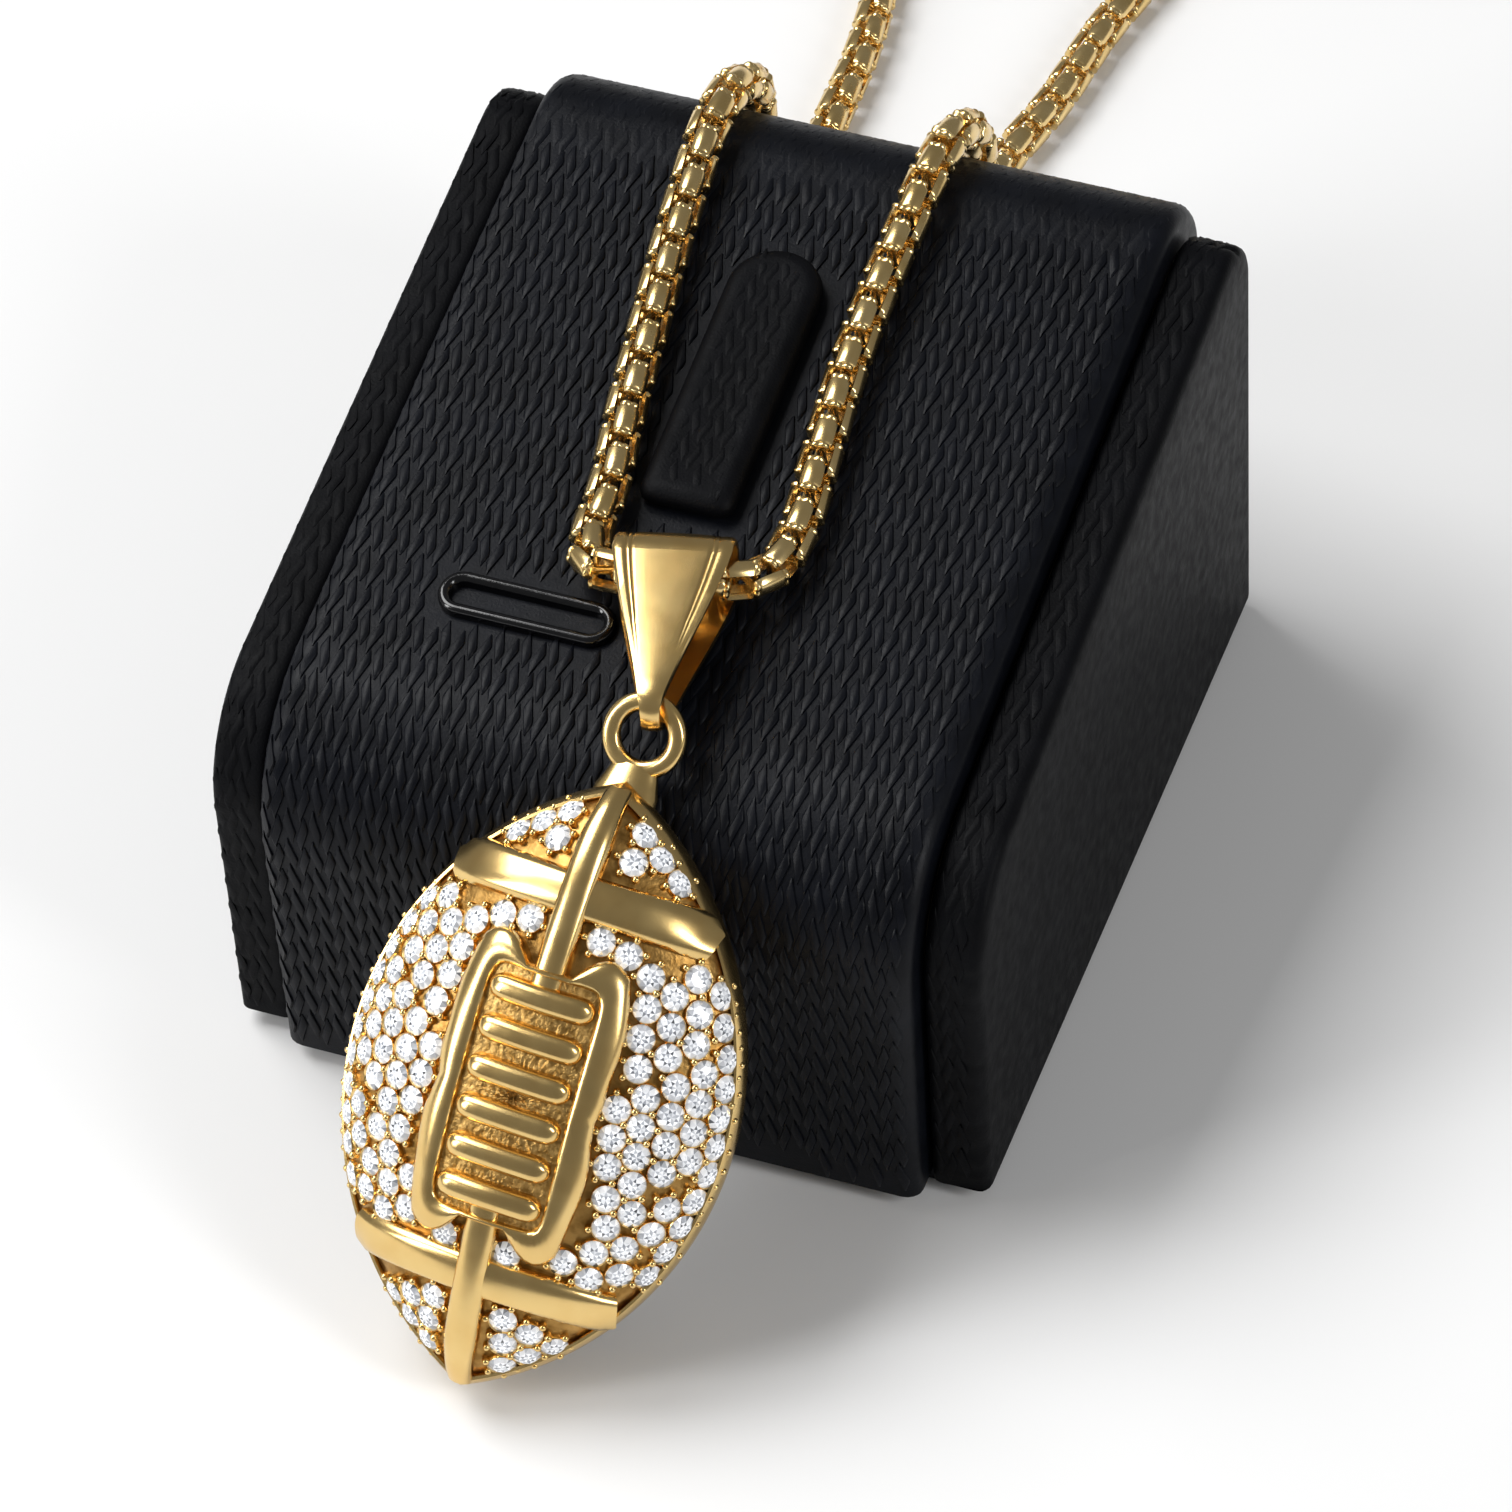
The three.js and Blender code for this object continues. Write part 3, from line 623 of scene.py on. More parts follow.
def right_strand():
    pad = [(1.05, 17.8, 3.2), (3.1, 18.2, 3.15), (5.2, 18.7, 2.8), (6.9, 20.7, 2.1),
           (7.4, 24.2, LYING), (6.9, 30.5, LYING), (6.3, 37.5, LYING), (6.1, 44.7, LYING),
           (6.2, 51, LYING), (6.3, 55.2, LYING)]
    table = coil["on_table"]
    free = [(6.4, 28.25, 42.65), (6.4, 32.55, 39.35), (6.1, 34.2, 34.3), (4.8, 34.25, 24),
            (3.2, 34.55, 13), (1.8, 36, 6), (0, 39.7, 2.2), (-1.8, 45.5, table),
            (-4.4, 56, table), (-4.2, 66.5, table), (-2.5, 75, table), (-1.2, 85, table),
            (1.4, 95, table), (6.4, 105.75, table + 0.2), (7.6, 111.75, 3.3), (8, 116.75, 4.6)]
    return [on_pad(*p) for p in pad] + [Vector(p) for p in free]


def turns(side, height, steps=36):
    """The coil: side is -1 for the left strand, wound clockwise from above, and +1 for the right."""
    points = []
    for k in range(steps + 1):
        share = k / steps
        radius = coil["outer_turn"] - coil["wound"] * coil["turns"] * share
        angle = 2 * math.pi * coil["turns"] * share
        x = coil["x"] + side * radius * math.cos(angle)
        y = coil["y"] + radius * math.sin(angle)
        points.append(Vector((x, y, height)))
    return points


def tail(side, height):
    """The last stretch inside the coil, down to the clasp or the end ring."""
    found = []
    for x, y, share in ((2.9, 12.9, 0.15), (5.1, 9.2, 0.5), (5.5, 7.2, 0.85), (5.5, 5.0, 1.0)):
        z = height + (coil["tail_level"] - height) * share
        found.append(Vector((coil["x"] - side * x, coil["y"] + y, z)))
    return found


def smooth_path(points, spacing=0.25, steps=14):
    """A centripetal Catmull-Rom curve through the points, resampled at an even spacing."""
    ends = [2 * points[0] - points[1]] + list(points) + [2 * points[-1] - points[-2]]
    fine = []
    for p0, p1, p2, p3 in zip(ends, ends[1:], ends[2:], ends[3:]):
        t0 = 0.0
        t1 = t0 + (p1 - p0).length ** 0.5
        t2 = t1 + (p2 - p1).length ** 0.5
        t3 = t2 + (p3 - p2).length ** 0.5
        for k in range(steps):
            t = t1 + (t2 - t1) * k / steps
            a1 = p0 * ((t1 - t) / (t1 - t0)) + p1 * ((t - t0) / (t1 - t0))
            a2 = p1 * ((t2 - t) / (t2 - t1)) + p2 * ((t - t1) / (t2 - t1))
            a3 = p2 * ((t3 - t) / (t3 - t2)) + p3 * ((t - t2) / (t3 - t2))
            b1 = a1 * ((t2 - t) / (t2 - t0)) + a2 * ((t - t0) / (t2 - t0))
            b2 = a2 * ((t3 - t) / (t3 - t1)) + a3 * ((t - t1) / (t3 - t1))
            fine.append(b1 * ((t2 - t) / (t2 - t1)) + b2 * ((t - t1) / (t2 - t1)))
    fine.append(points[-1])
    lengths = np.concatenate([[0], np.cumsum([(b - a).length for a, b in zip(fine, fine[1:])])])
    count = int(lengths[-1] / spacing)
    wanted = np.linspace(0, lengths[-1], count + 1)
    flat = np.array([tuple(p) for p in fine])
    table = np.stack([np.interp(wanted, lengths, flat[:, i]) for i in range(3)], axis=1)
    return [Vector(row) for row in table], float(lengths[-1])


def transported_normals(path, start, start_normal):
    """A normal carried both ways along the path from one of its points, without twisting."""
    normals = [None] * len(path)
    for indices in (range(start, len(path)), range(start, -1, -1)):
        normal = start_normal
        for i in indices:
            ahead = path[min(i + 1, len(path) - 1)] - path[max(i - 1, 0)]
            ahead.normalize()
            normal = (normal - ahead * normal.dot(ahead)).normalized()
            normals[i] = normal.copy()
    return normals


def barrel_depth(share, along):
    """How far a link's barrel face lies below its full round: a neck, then two knobs a side.

    share runs -1 to 1 across the face and along runs -1 to 1 down the link."""
    far = abs(along)
    neck = smoothstep(link["neck"] - 0.06, link["neck"] + 0.03, far)
    past = min(1.0, max(0.0, (far - link["neck"] - 0.02) / (0.98 - link["neck"])))
    bulge = math.sin(math.pi * min(1.0, 0.12 + 0.9 * past)) ** 0.6
    knobs = abs(math.sin(math.pi * min(1.0, abs(share) * 1.05 + 0.02))) ** 0.8
    rise = (0.03 + link["knob"] * knobs) * bulge
    return neck * (link["neck_depth"] - rise) + link["tip"] * smoothstep(0.93, 1.0, far)


def link_barrel(side):
    """The rings of one barrel face, from end to end: its outside, then its inside."""
    stations = [0.0, 0.56, 0.64, 0.69, 0.75, 0.82, 0.89, 0.95, 1.0]
    stations = [-s for s in reversed(stations)] + stations[1:]
    spread = math.radians(link["half_angle"])
    hub = link["reach"] - link["barrel"]
    outer_shares = [2 * k / (link["columns"] - 1) - 1 for k in range(link["columns"])]
    rings = []
    for along in stations:
        narrow = spread * (1 - 0.2 * smoothstep(0.86, 1.0, abs(along)))
        z = along * link["half_length"]
        inside = link["barrel"] - link["thickness"] - 0.1 * smoothstep(0.7, 1.0, abs(along))
        ring = []
        for share in outer_shares:
            radius = link["barrel"] - barrel_depth(share, along)
            angle = narrow * share
            ring.append((radius * math.sin(angle), side * (hub + radius * math.cos(angle)), z))
        for share in (1, 0, -1):
            angle = narrow * share
            ring.append((inside * math.sin(angle), side * (hub + inside * math.cos(angle)), z * 0.985))
        rings.append(ring)
    return rings


def link_bar(end, sides=8):
    """The rings of the bar that joins both barrel faces at one end of a link."""
    half = 1.2
    rings = []
    for y in (-half, -0.85, -0.4, 0.4, 0.85, half):
        width = 0.34 + 0.1 * smoothstep(0.5, half, abs(y))
        level = end * (link["half_length"] - 0.24 - 0.06 * (1 - abs(y) / half))
        ring = []
        for k in range(sides):
            angle = 2 * math.pi * k / sides
            ring.append((width * math.cos(angle), y, level + 0.2 * math.sin(angle)))
        rings.append(ring)
    return rings


def link_shape():
    """One link about its own middle, its length along Z and its two barrel faces at +-Y."""
    shape = Shape()
    for side in (1, -1):
        shape.rings(link_barrel(side))
    for end in (-1, 1):
        shape.rings(link_bar(end))
    return shape


def seen_normal(path, start, roll):
    """The pad's normal, square to the path at a point of it and rolled about it."""
    ahead = (path[start + 1] - path[start]).normalized()
    normal = Vector((0, -math.sin(slope), math.cos(slope)))
    normal = (normal - ahead * normal.dot(ahead)).normalized()
    return Matrix.Rotation(math.radians(roll), 3, ahead) @ normal


def build_chain(name, strand, side, height, roll, replaced):
    """One cord of the chain: its route from the bail, its coil and its tail, drawn link by link."""
    path, length = smooth_path(strand + turns(side, height) + tail(side, height))
    seen = on_pad(0, chain_roll["seen_at"], LYING).y
    start = min(range(len(path) // 3), key=lambda i: abs(path[i].y - seen))
    normals = transported_normals(path, start, seen_normal(path, start, roll))
    unit = link_shape()
    shape = Shape()
    count = int(length / link["pitch"])
    for i in range(count):
        at = (i + 0.5) * length / count
        k = min(len(path) - 2, max(1, round(at / length * (len(path) - 1))))
        ahead = (path[k + 1] - path[k - 1]).normalized()
        normal = ahead.cross(normals[k]) if i % 2 else normals[k]
        across = normal.cross(ahead).normalized()
        shape.add(unit.points, unit.faces, frame_of(across, normal, ahead, path[k]))
    piece = make(name, shape, chain_gold, "block", replaced)


# ---- the bail --------------------------------------------------------------------------------

joints = {j["name"]: j for j in frame["record"]["behaviour"]["joints"]}
bail_top = Vector(joints["bail_swing"]["pos_m"]) / MM
bail_foot = Vector(joints["pendant_swing"]["pos_m"]) / MM


def bail_place():
    up = (bail_top - bail_foot).normalized()
    side = (ACROSS - up * up.x).normalized()
    out = side.cross(up)
    return frame_of(side, up, out, bail_top)


def bail_line(grow, top_steps=32, foot_steps=20, leaf_steps=16):
    """The bent band's side view, [(y, z)] all round: the loop, a leaf, the eye and a leaf."""
    length = (bail_top - bail_foot).length
    big = bail["loop_radius"] + grow
    small = bail["eye_radius"] + grow
    lean = math.asin((big - small) / length)
    points = []
    for k in range(top_steps + 1):
        angle = math.pi / 2 + lean - (math.pi + 2 * lean) * k / top_steps
        points.append((big * math.cos(angle), big * math.sin(angle)))
    tangent_y, tangent_z = -length - small * math.sin(lean), small * math.cos(lean)
    back_top, back_low = Vector(points[-1]), Vector((tangent_y, -tangent_z))
    points += [tuple(back_top.lerp(back_low, k / leaf_steps)) for k in range(1, leaf_steps)]
    for k in range(foot_steps + 1):
        angle = -math.pi / 2 - lean - (math.pi - 2 * lean) * k / foot_steps
        points.append((-length + small * math.cos(angle), small * math.sin(angle)))
    front_low, front_top = Vector((tangent_y, tangent_z)), Vector(points[0])
    points += [tuple(front_low.lerp(front_top, k / leaf_steps)) for k in range(1, leaf_steps)]
    return points


def build_bail():
    """A tapered band bent into a loop, with two engraved lines by each edge of its front."""
    foot = -(bail_top - bail_foot).length - bail["eye_radius"] - bail["band"]
    shares = [-1, -0.985, -0.95, -0.84, -0.79, -0.765, -0.74, -0.7, -0.675, -0.65, -0.6, -0.4, -0.2]
    shares = shares + [0] + [-s for s in reversed(shares)]
    rings = []
    for (oy, oz), (iy, iz) in zip(bail_line(bail["band"]), bail_line(0)):
        up = (oy - foot) / -foot
        taper = min(1, max(0, smoothstep(0, 1, up) * 0.25 + up * 0.75))
        half = (bail["end_width"] + (bail["top_width"] - bail["end_width"]) * taper) / 2
        groove = bail["groove"] * smoothstep(-9.5, -2.5, oy) * (oz > 0)
        out = Vector((oy - iy, oz - iz)).normalized()
        ring = []
        for share in shares:
            cut = sum(groove * math.exp(-(((abs(share) - g) / 0.02) ** 2)) for g in bail["grooves"])
            edge = 0.16 * max(0, abs(share) - 0.95) / 0.05
            crown = 0.12 * share * share
            lower = cut + edge + crown
            ring.append((share * half, oy - out.x * lower, oz - out.y * lower))
        ring += [(share * half, iy, iz) for share in (0.985, 0.9, 0, -0.9, -0.985)]
        rings.append(ring)
    shape = Shape()
    shape.rings(rings + rings[:1], caps=False)
    make("bail_band", shape, pendant_gold, "bail", ["bail"], bail_place())


# ---- the pendant -----------------------------------------------------------------------------

def pendant_place():
    """The pendant's own frame: its origin at the ring's centre, Y up its length, Z out of its face."""
    lean = math.radians(pendant["lean"])
    radius = pad_outline.front
    out = Vector((0, -math.sin(lean), math.cos(lean)))
    along = Vector((0, math.cos(lean), math.sin(lean)))
    bend = Vector((0, radius - pad_outline.half, pad_outline.front_z))
    off = radius + pendant["gap"] - pendant["back"]
    centre = bend + out * off + along * pendant["ring_reach"]
    centre.x = pendant["ring_x"]
    turn = Matrix.Rotation(lean, 4, "X") @ Matrix.Rotation(-math.radians(pendant["tilt"]), 4, "Z")
    return Matrix.Translation(centre) @ turn


ball_place = pendant_place() @ Matrix.Translation(
    (0, pendant["bottom_tip"] + pendant["half_length"], 0))
arc_radius = (pendant["half_length"] ** 2 + pendant["half_width"] ** 2) / (2 * pendant["half_width"])


def rim_point(share):
    """A point of the pointed outline; share runs 0 to 1 round it from the bottom tip."""
    side = 1 if share < 0.5 else -1
    spread = math.asin(pendant["half_length"] / arc_radius)
    angle = side * spread * (4 * (share % 0.5) - 1)
    x = side * (arc_radius * math.cos(angle) - arc_radius + pendant["half_width"])
    return Vector((x, arc_radius * math.sin(angle)))


def rim_ratio(x, y):
    """How far out (x, y) is: 0 in the middle, 1 on the outline."""
    away = x * x + y * y
    if away < 1e-9:
        return 0.0
    gap = arc_radius - pendant["half_width"]
    b = abs(x) * gap
    root = math.sqrt(b * b + away * (arc_radius ** 2 - gap ** 2))
    return away / (root - b)


def face_height(x, y):
    """The height of the domed face above the pendant's back plane at (x, y)."""
    ratio = min(0.9995, rim_ratio(x, y))
    return pendant["rim_top"] + pendant["dome"] * math.sqrt(1 - ratio * ratio)


def face_normal(x, y):
    """The domed face's outward direction at (x, y)."""
    step = 0.05
    dx = (face_height(x + step, y) - face_height(x - step, y)) / (2 * step)
    dy = (face_height(x, y + step) - face_height(x, y - step)) / (2 * step)
    return Vector((-dx, -dy, 1)).normalized()


def on_face(x, y, lift):
    """The point that stands lift above the face at (x, y)."""
    return Vector((x, y, face_height(x, y))) + face_normal(x, y) * lift


def ball_rings(levels, count=120):
    """Rings that follow the pointed outline: levels are (share of the outline, height)."""
    rings = []
    for ratio, z in levels:
        line = [rim_point(k / count) * max(ratio, 0.004) for k in range(count)]
        rings.append([(p.x, p.y, z) for p in line])
    return rings


def build_shell():
    """The pendant's body: a bed for the stones in dark gold that paints the shade between them, hollow
    behind, and a polished edge.
    """
    top, dome = pendant["rim_top"], pendant["dome"]
    bed = [0.0, 0.12, 0.25, 0.4, 0.55, 0.68, 0.78, 0.86, 0.92, 0.955]
    levels = [(r, top + dome * math.sqrt(1 - r * r) - pendant["bed"]) for r in bed]
    levels += [(0.965, 1.9), (0.97, 1.2), (0.955, 0.2), (0.93, -0.6), (0.905, -0.9), (0.9, -0.8)]
    for ratio in (0.85, 0.75, 0.6, 0.4, 0.0):
        inside = math.sqrt(1 - (ratio / pendant["open_back"]) ** 2)
        levels.append((ratio, (dome - pendant["wall"]) * inside - 0.8))
    body = Shape()
    body.rings(ball_rings(levels))
    make("pendant_body", body, aged_gold, "pendant", ["pendant_shell"], ball_place)

    edge = Shape()
    profile = [(0.957, 2.0), (0.96, 2.5), (0.968, 2.72), (0.98, 2.68), (0.99, 2.35), (0.998, 1.8),
               (1.0, 1.3), (0.996, 0.8), (0.978, 0.2), (0.955, -0.5), (0.93, -1.0), (0.915, -0.98),
               (0.93, -0.5), (0.95, 0.3), (0.955, 1.2), (0.957, 2.0)]
    edge.rings(ball_rings(profile), caps=False)
    edge.rings(neck_rings())
    make("pendant_rim", edge, pendant_gold, "pendant", (), ball_place)


def neck_rings(sides=20):
    """The soldered neck between the football's top tip and its ring."""
    tip = pendant["half_length"]
    rings = []
    # Each row: how far past the tip, half the width, and the low and high levels.
    for past, half, low, high in ((-2.6, 1.5, 0.2, 2.9), (-1.7, 2.3, -0.2, 2.35),
                                  (-0.8, 2.25, -0.6, 1.75), (-0.1, 1.95, -0.65, 1.25),
                                  (0.5, 1.75, -0.6, 0.85), (1.1, 1.5, -0.45, 0.55)):
        ring = []
        for x, rise, _ in round_ring(1, 0, sides):
            ring.append((half * x, tip + past, (low + high) / 2 + (high - low) / 2 * rise))
        rings.append(ring)
    return rings


def ribbon(shape, centre, half_width, height, sink=0.55, columns=11):
    """A convex strip on the pendant's face along centre points; widths and heights per point."""
    shares = [2 * k / (columns - 1) - 1 for k in range(columns)]
    rings = []
    for i, point in enumerate(centre):
        ahead = centre[min(i + 1, len(centre) - 1)] - centre[max(i - 1, 0)]
        side = Vector((ahead.y, -ahead.x)).normalized() * half_width[i]

        def at(share, lift):
            p = point + side * share
            ratio = rim_ratio(p.x, p.y)
            if ratio > EDGE:
                p = p * (EDGE / ratio)
            return on_face(p.x, p.y, lift)

        ring = [at(share, height[i] * (1 - abs(share) ** 3) ** 0.5 - 0.05) for share in shares]
        rings.append(ring + [at(0.98, -sink), at(-0.98, -sink)])
    shape.rings(rings)


def band_y(band, x):
    return band["y"] + band["bow"] * (1 - (x / pendant["half_width"]) ** 2)


def panel_radius(grow):
    """The lace panel's outline about its centre, as (angle, radius) in the first quarter."""
    waist, hip = panel["waist"] + grow, panel["hip_x"] + grow
    outer, inner = panel["outer"] + grow, panel["inner"] - grow
    reach, notch = panel["reach"] + 1.5 * grow, panel["notch_y"] + grow
    curves = [((waist, 0), (hip, panel["hip_y"]), (outer, panel["end"])),
              ((outer, panel["end"]), (panel["tip"], reach), (inner, panel["end"])),
              ((inner, panel["end"]), (panel["notch_x"], notch), (0, notch))]
    found = []
    for a, b, c in curves:
        for k in range(13):
            t = k / 12
            x = (1 - t) ** 2 * a[0] + 2 * t * (1 - t) * b[0] + t * t * c[0]
            y = (1 - t) ** 2 * a[1] + 2 * t * (1 - t) * b[1] + t * t * c[1]
            found.append((math.atan2(y, x), math.hypot(x, y)))
    found.sort()
    return found


def panel_reach(angle, table):
    """The panel outline's radius at any angle, from its first quarter."""
    folded = abs(math.atan2(abs(math.sin(angle)), abs(math.cos(angle))))
    return float(np.interp(folded, [a for a, _ in table], [r for _, r in table]))


def build_seams(steps=36, bar_steps=22):
    """The centre bar and both cross bands, above and below the lace panel."""
    tip, inner_end = pendant["half_length"], 7.6
    for name, band, start, end in (
            ("upper", cross_bands[0], tip - 0.6, panel["y"] + inner_end),
            ("lower", cross_bands[1], -tip + 0.8, panel["y"] - inner_end)):
        shape = Shape()
        xs = [pendant["half_width"] * (2 * k / steps - 1) for k in range(steps + 1)]
        points = [Vector((x, band_y(band, x))) for x in xs if rim_ratio(x, band_y(band, x)) < EDGE]
        ribbon(shape, points, [band["width"] / 2] * len(points), [band["height"]] * len(points))
        bar_at = range(bar_steps + 1)
        bar = [Vector((0, start + (end - start) * k / bar_steps)) for k in bar_at]
        widths = [bar_half_width * min(1, 0.72 + 0.05 * k) for k in bar_at]
        heights = [min(0.85, 0.5 + 0.07 * k) for k in bar_at]
        ribbon(shape, bar, widths, heights)
        make(f"{name}_bands", shape, pendant_gold, "pendant", [f"{name}_seams"],
             ball_place)


PANEL_TABLE = panel_radius(0)


def sanded_reach(angle, power=12):
    """The radius of the sanded field's rounded rectangle at any angle."""
    across = abs(math.cos(angle)) / sanded["half_width"]
    along = abs(math.sin(angle)) / sanded["half_length"]
    return (across ** power + along ** power) ** (-1 / power)


def panel_ring(share, lift, rough=None, count=144):
    """A ring of points round the panel.

    At share 1 it is the panel's outline, at 0 the sanded field's edge and at -1 the middle."""
    ring = []
    for k in range(count):
        angle = 2 * math.pi * k / count
        wavy = 1 + 0.012 * math.sin(9 * angle + 0.6) * smoothstep(0.7, 1, share)
        inner = sanded_reach(angle)
        outer = max(inner + 0.5, panel_reach(angle, PANEL_TABLE) * wavy)
        reach = inner + (outer - inner) * share if share >= 0 else inner * (1 + share)
        x = panel["x"] + reach * math.cos(angle)
        y = panel["y"] + reach * math.sin(angle)
        ring.append(on_face(x, y, lift + (rough() if rough else 0)))
    return ring


def build_panel():
    """The lace panel: a polished plate with a wavy edge, sanded in its middle."""
    border, field = Shape(), Shape()
    profile = [(1.0, -0.55), (1.0, 0.2), (0.97, 0.42), (0.9, 0.6), (0.8, 0.76), (0.65, 0.9),
               (0.45, 1.0), (0.25, 1.0), (0.12, 0.94), (0.03, 0.8), (0.0, 0.55), (0.0, -0.55)]
    rings = [panel_ring(share, lift) for share, lift in profile]
    border.rings(rings + rings[:1], caps=False)
    make("panel_border", border, pendant_gold, "pendant", ["lace_panel"], ball_place)

    rng = random.Random(7)

    def grit():
        return rng.uniform(-sanded["grit"], sanded["grit"])

    level, rough_rings, middle, edge = sanded["level"], 24, -0.996, 0.02
    rings = [panel_ring(middle, level)]
    rings += [panel_ring(-1 + k / rough_rings, level, grit) for k in range(1, rough_rings)]
    rings += [panel_ring(edge, level), panel_ring(edge, -0.5), panel_ring(middle, -0.5)]
    field.rings(rings)
    make("panel_field", field, sand_gold, "pendant", (), ball_place)


def build_laces():
    """Six round-ended bars across the sanded field."""
    half = laces["length"] / 2
    cap = laces["width"] / 2
    end_stations = [-1 + 0.02 * k * k for k in range(6)]
    stations = end_stations + [-0.35, -0.2, 0, 0.2, 0.35] + [-t for t in reversed(end_stations)]
    for i in range(laces["count"]):
        y = panel["y"] + laces["pitch"] * ((laces["count"] - 1) / 2 - i)
        points, widths, heights = [], [], []
        for station in stations:
            x = station * (half - 0.04)
            past = max(0.0, (abs(x) - (half - cap)) / cap)
            round_off = math.sqrt(max(0.02, 1 - past * past))
            points.append(Vector((panel["x"] + x, y)))
            widths.append(cap * round_off)
            heights.append(laces["level"] + laces["height"] * round_off)
        shape = Shape()
        ribbon(shape, points, widths, heights, sink=-0.3, columns=13)
        make(f"lace_bar_{i + 1}", shape, pendant_gold, "pendant",
             [f"lace_{i + 1}"], ball_place)


def field_of(x, y):
    """The stone field that a point is in, or None where it is too near a seam, the panel or the rim."""
    clear = stone["clear"]
    by_the_bar = abs(x) < bar_half_width + clear * 0.92 and abs(y - panel["y"]) >= 6
    if by_the_bar or rim_ratio(x, y) > stone["outermost"]:
        return None
    for band in cross_bands:
        if abs(y - band_y(band, x)) < band["width"] / 2 + clear * 0.84:
            return None
    right, up = x - panel["x"], y - panel["y"]
    if math.hypot(right, up) < panel_reach(math.atan2(up, right), PANEL_TABLE) + clear * 0.9:
        return None
    place = "top" if y > cross_bands[0]["y"] else "bottom" if y < cross_bands[1]["y"] else "middle"
    return f"stones_{place}_{'right' if x > 0 else 'left'}"


def stone_places(step=0.2, columns=70, rows=108):
    """Stones packed one by one: each goes where it lies close to most others or to the rim."""
    spots = []
    for i in range(-columns, columns + 1):
        for j in range(-rows, rows + 1):
            name = field_of(i * step, j * step)
            if name:
                spots.append((i * step, j * step, name))
    points = np.array([tuple(on_face(x, y, 0)) for x, y, _ in spots])
    ratios = np.array([rim_ratio(x, y) for x, y, _ in spots])
    by_rim = np.exp(-(((ratios - stone["rim_row"]) / 0.012) ** 2))
    score = 1.5 * by_rim + 0.004 * np.abs(points[:, 1])
    free = np.ones(len(spots), bool)
    placed = []
    while free.any():
        best = int(np.argmax(np.where(free, score, -1)))
        x, y, name = spots[best]
        placed.append((on_face(x, y, 0), x, y, name))
        away = np.linalg.norm(points - points[best], axis=1)
        free &= away > stone["spacing"]
        score += np.exp(-(((away - stone["spacing"] - 0.08) / 0.16) ** 2))
    return placed


def add_stone(shape, place, rng):
    """A round brilliant seen from above: star-cut table, crown facets and a girdle."""
    r, count = stone["radius"], 8
    points, faces, painted_glints = [(0, 0, 0.44)], [], []
    # Each row: the share of the radius, the height, the corners and how far the first is turned.
    for share, height, corners, shift in ((0.34, 0.425, count, 0), (0.62, 0.4, count, 0.5),
                                          (1, 0.12, 2 * count, 0), (0.9, -0.35, 2 * count, 0)):
        for k in range(corners):
            a = 2 * math.pi * (k + shift) / corners
            points.append((share * r * math.cos(a), share * r * math.sin(a), height))
    inner, mid, rim, low = 1, 1 + count, 1 + 2 * count, 1 + 4 * count
    turn = rng.randrange(2)
    for k in range(count):
        nxt, before = (k + 1) % count, (k - 1) % count
        # Each facet with its painted reflection brightness and how far that may vary.
        for face, base, spread in (
                ((0, inner + k, inner + nxt), 0.95 if (k + turn) % 2 else 0.6, 0.25),
                ((inner + k, mid + k, inner + nxt), 0.35, 0.3),
                ((inner + k, mid + before, mid + k), 0.9, 0.15),
                ((mid + k, rim + 2 * k + 1, rim + 2 * nxt, mid + nxt), 0.85, 0.3),
                ((mid + k, rim + 2 * k, rim + 2 * k + 1), 0.45, 0.35),
                ((mid + before, rim + 2 * k, mid + k), 0.75, 0.25)):
            faces.append(face)
            painted_glints.append(min(1.0, max(0.02, base + rng.uniform(-spread, spread))))
    for k in range(2 * count):
        nxt = (k + 1) % (2 * count)
        faces.append((rim + k, low + k, low + nxt, rim + nxt))
    faces.append(tuple(low + k for k in reversed(range(2 * count))))
    # The girdle and underside get a low painted brightness.
    painted_glints += [0.2] * (2 * count + 1)
    shape.add(points, faces, place, painted_glints)


def surface_place(point, normal, spin):
    """A frame at the point whose Z is the normal, turned about it by spin."""
    side = UP.cross(normal)
    side = (side if side.length > 0.01 else ACROSS).normalized()
    return frame_of(side, normal.cross(side), normal, point) @ Matrix.Rotation(spin, 4, "Z")


def build_stones():
    """Each field's stones as one piece, and the beads and collars between them."""
    rng = random.Random(11)
    placed = stone_places()
    fields = {}
    for point, x, y, name in placed:
        shape = fields.setdefault(name, Shape())
        spin = rng.uniform(0, math.pi)
        normal = face_normal(x, y)
        add_stone(shape, surface_place(point - normal * stone["sunk"], normal, spin), rng)
    for name, shape in sorted(fields.items()):
        make(name.replace("stones", "rhinestones"), shape, crystal, "pendant", [name],
             ball_place, flat=True)
    build_beads(placed, rng)


def build_beads(placed, rng):
    """Small gold beads between the stones, which hold them down, and a collar under each stone."""
    shape = Shape()
    beads = []
    profile = ((0.98, -0.5), (1.05, -0.5), (1.05, -0.14), (1.01, -0.06), (0.95, -0.2))
    collar = [round_ring(radius, z, 20) for radius, z in profile + profile[:1]]
    for point, x, y, _ in placed:
        normal = face_normal(x, y)
        start = rng.uniform(0, math.pi)
        for k in range(bead["count"]):
            place = surface_place(point, normal, start + 2 * math.pi * k / bead["count"])
            spot = place @ Vector((bead["reach"], 0, 0))
            away = min((spot - other).length for other, *_ in placed)
            if away > bead["clear"] and all((spot - b).length > bead["apart"] for b in beads):
                beads.append(spot)
                add_bead(shape, surface_place(spot - normal * bead["sunk"], normal, 0))
        shape.rings(collar, caps=False, place=surface_place(point, normal, 0))
    make("stone_beads", shape, pendant_gold, "pendant", (), ball_place)


def add_bead(shape, place, levels=5, sides=8):
    """Half a ball on a short stem."""
    rings = [round_ring(bead["radius"], -0.4, sides)]
    for k in range(levels):
        angle = math.pi / 2 * k / levels
        rings.append(round_ring(bead["radius"] * math.cos(angle), bead["radius"] * math.sin(angle),
                                sides))
    shape.rings(rings, place=place)


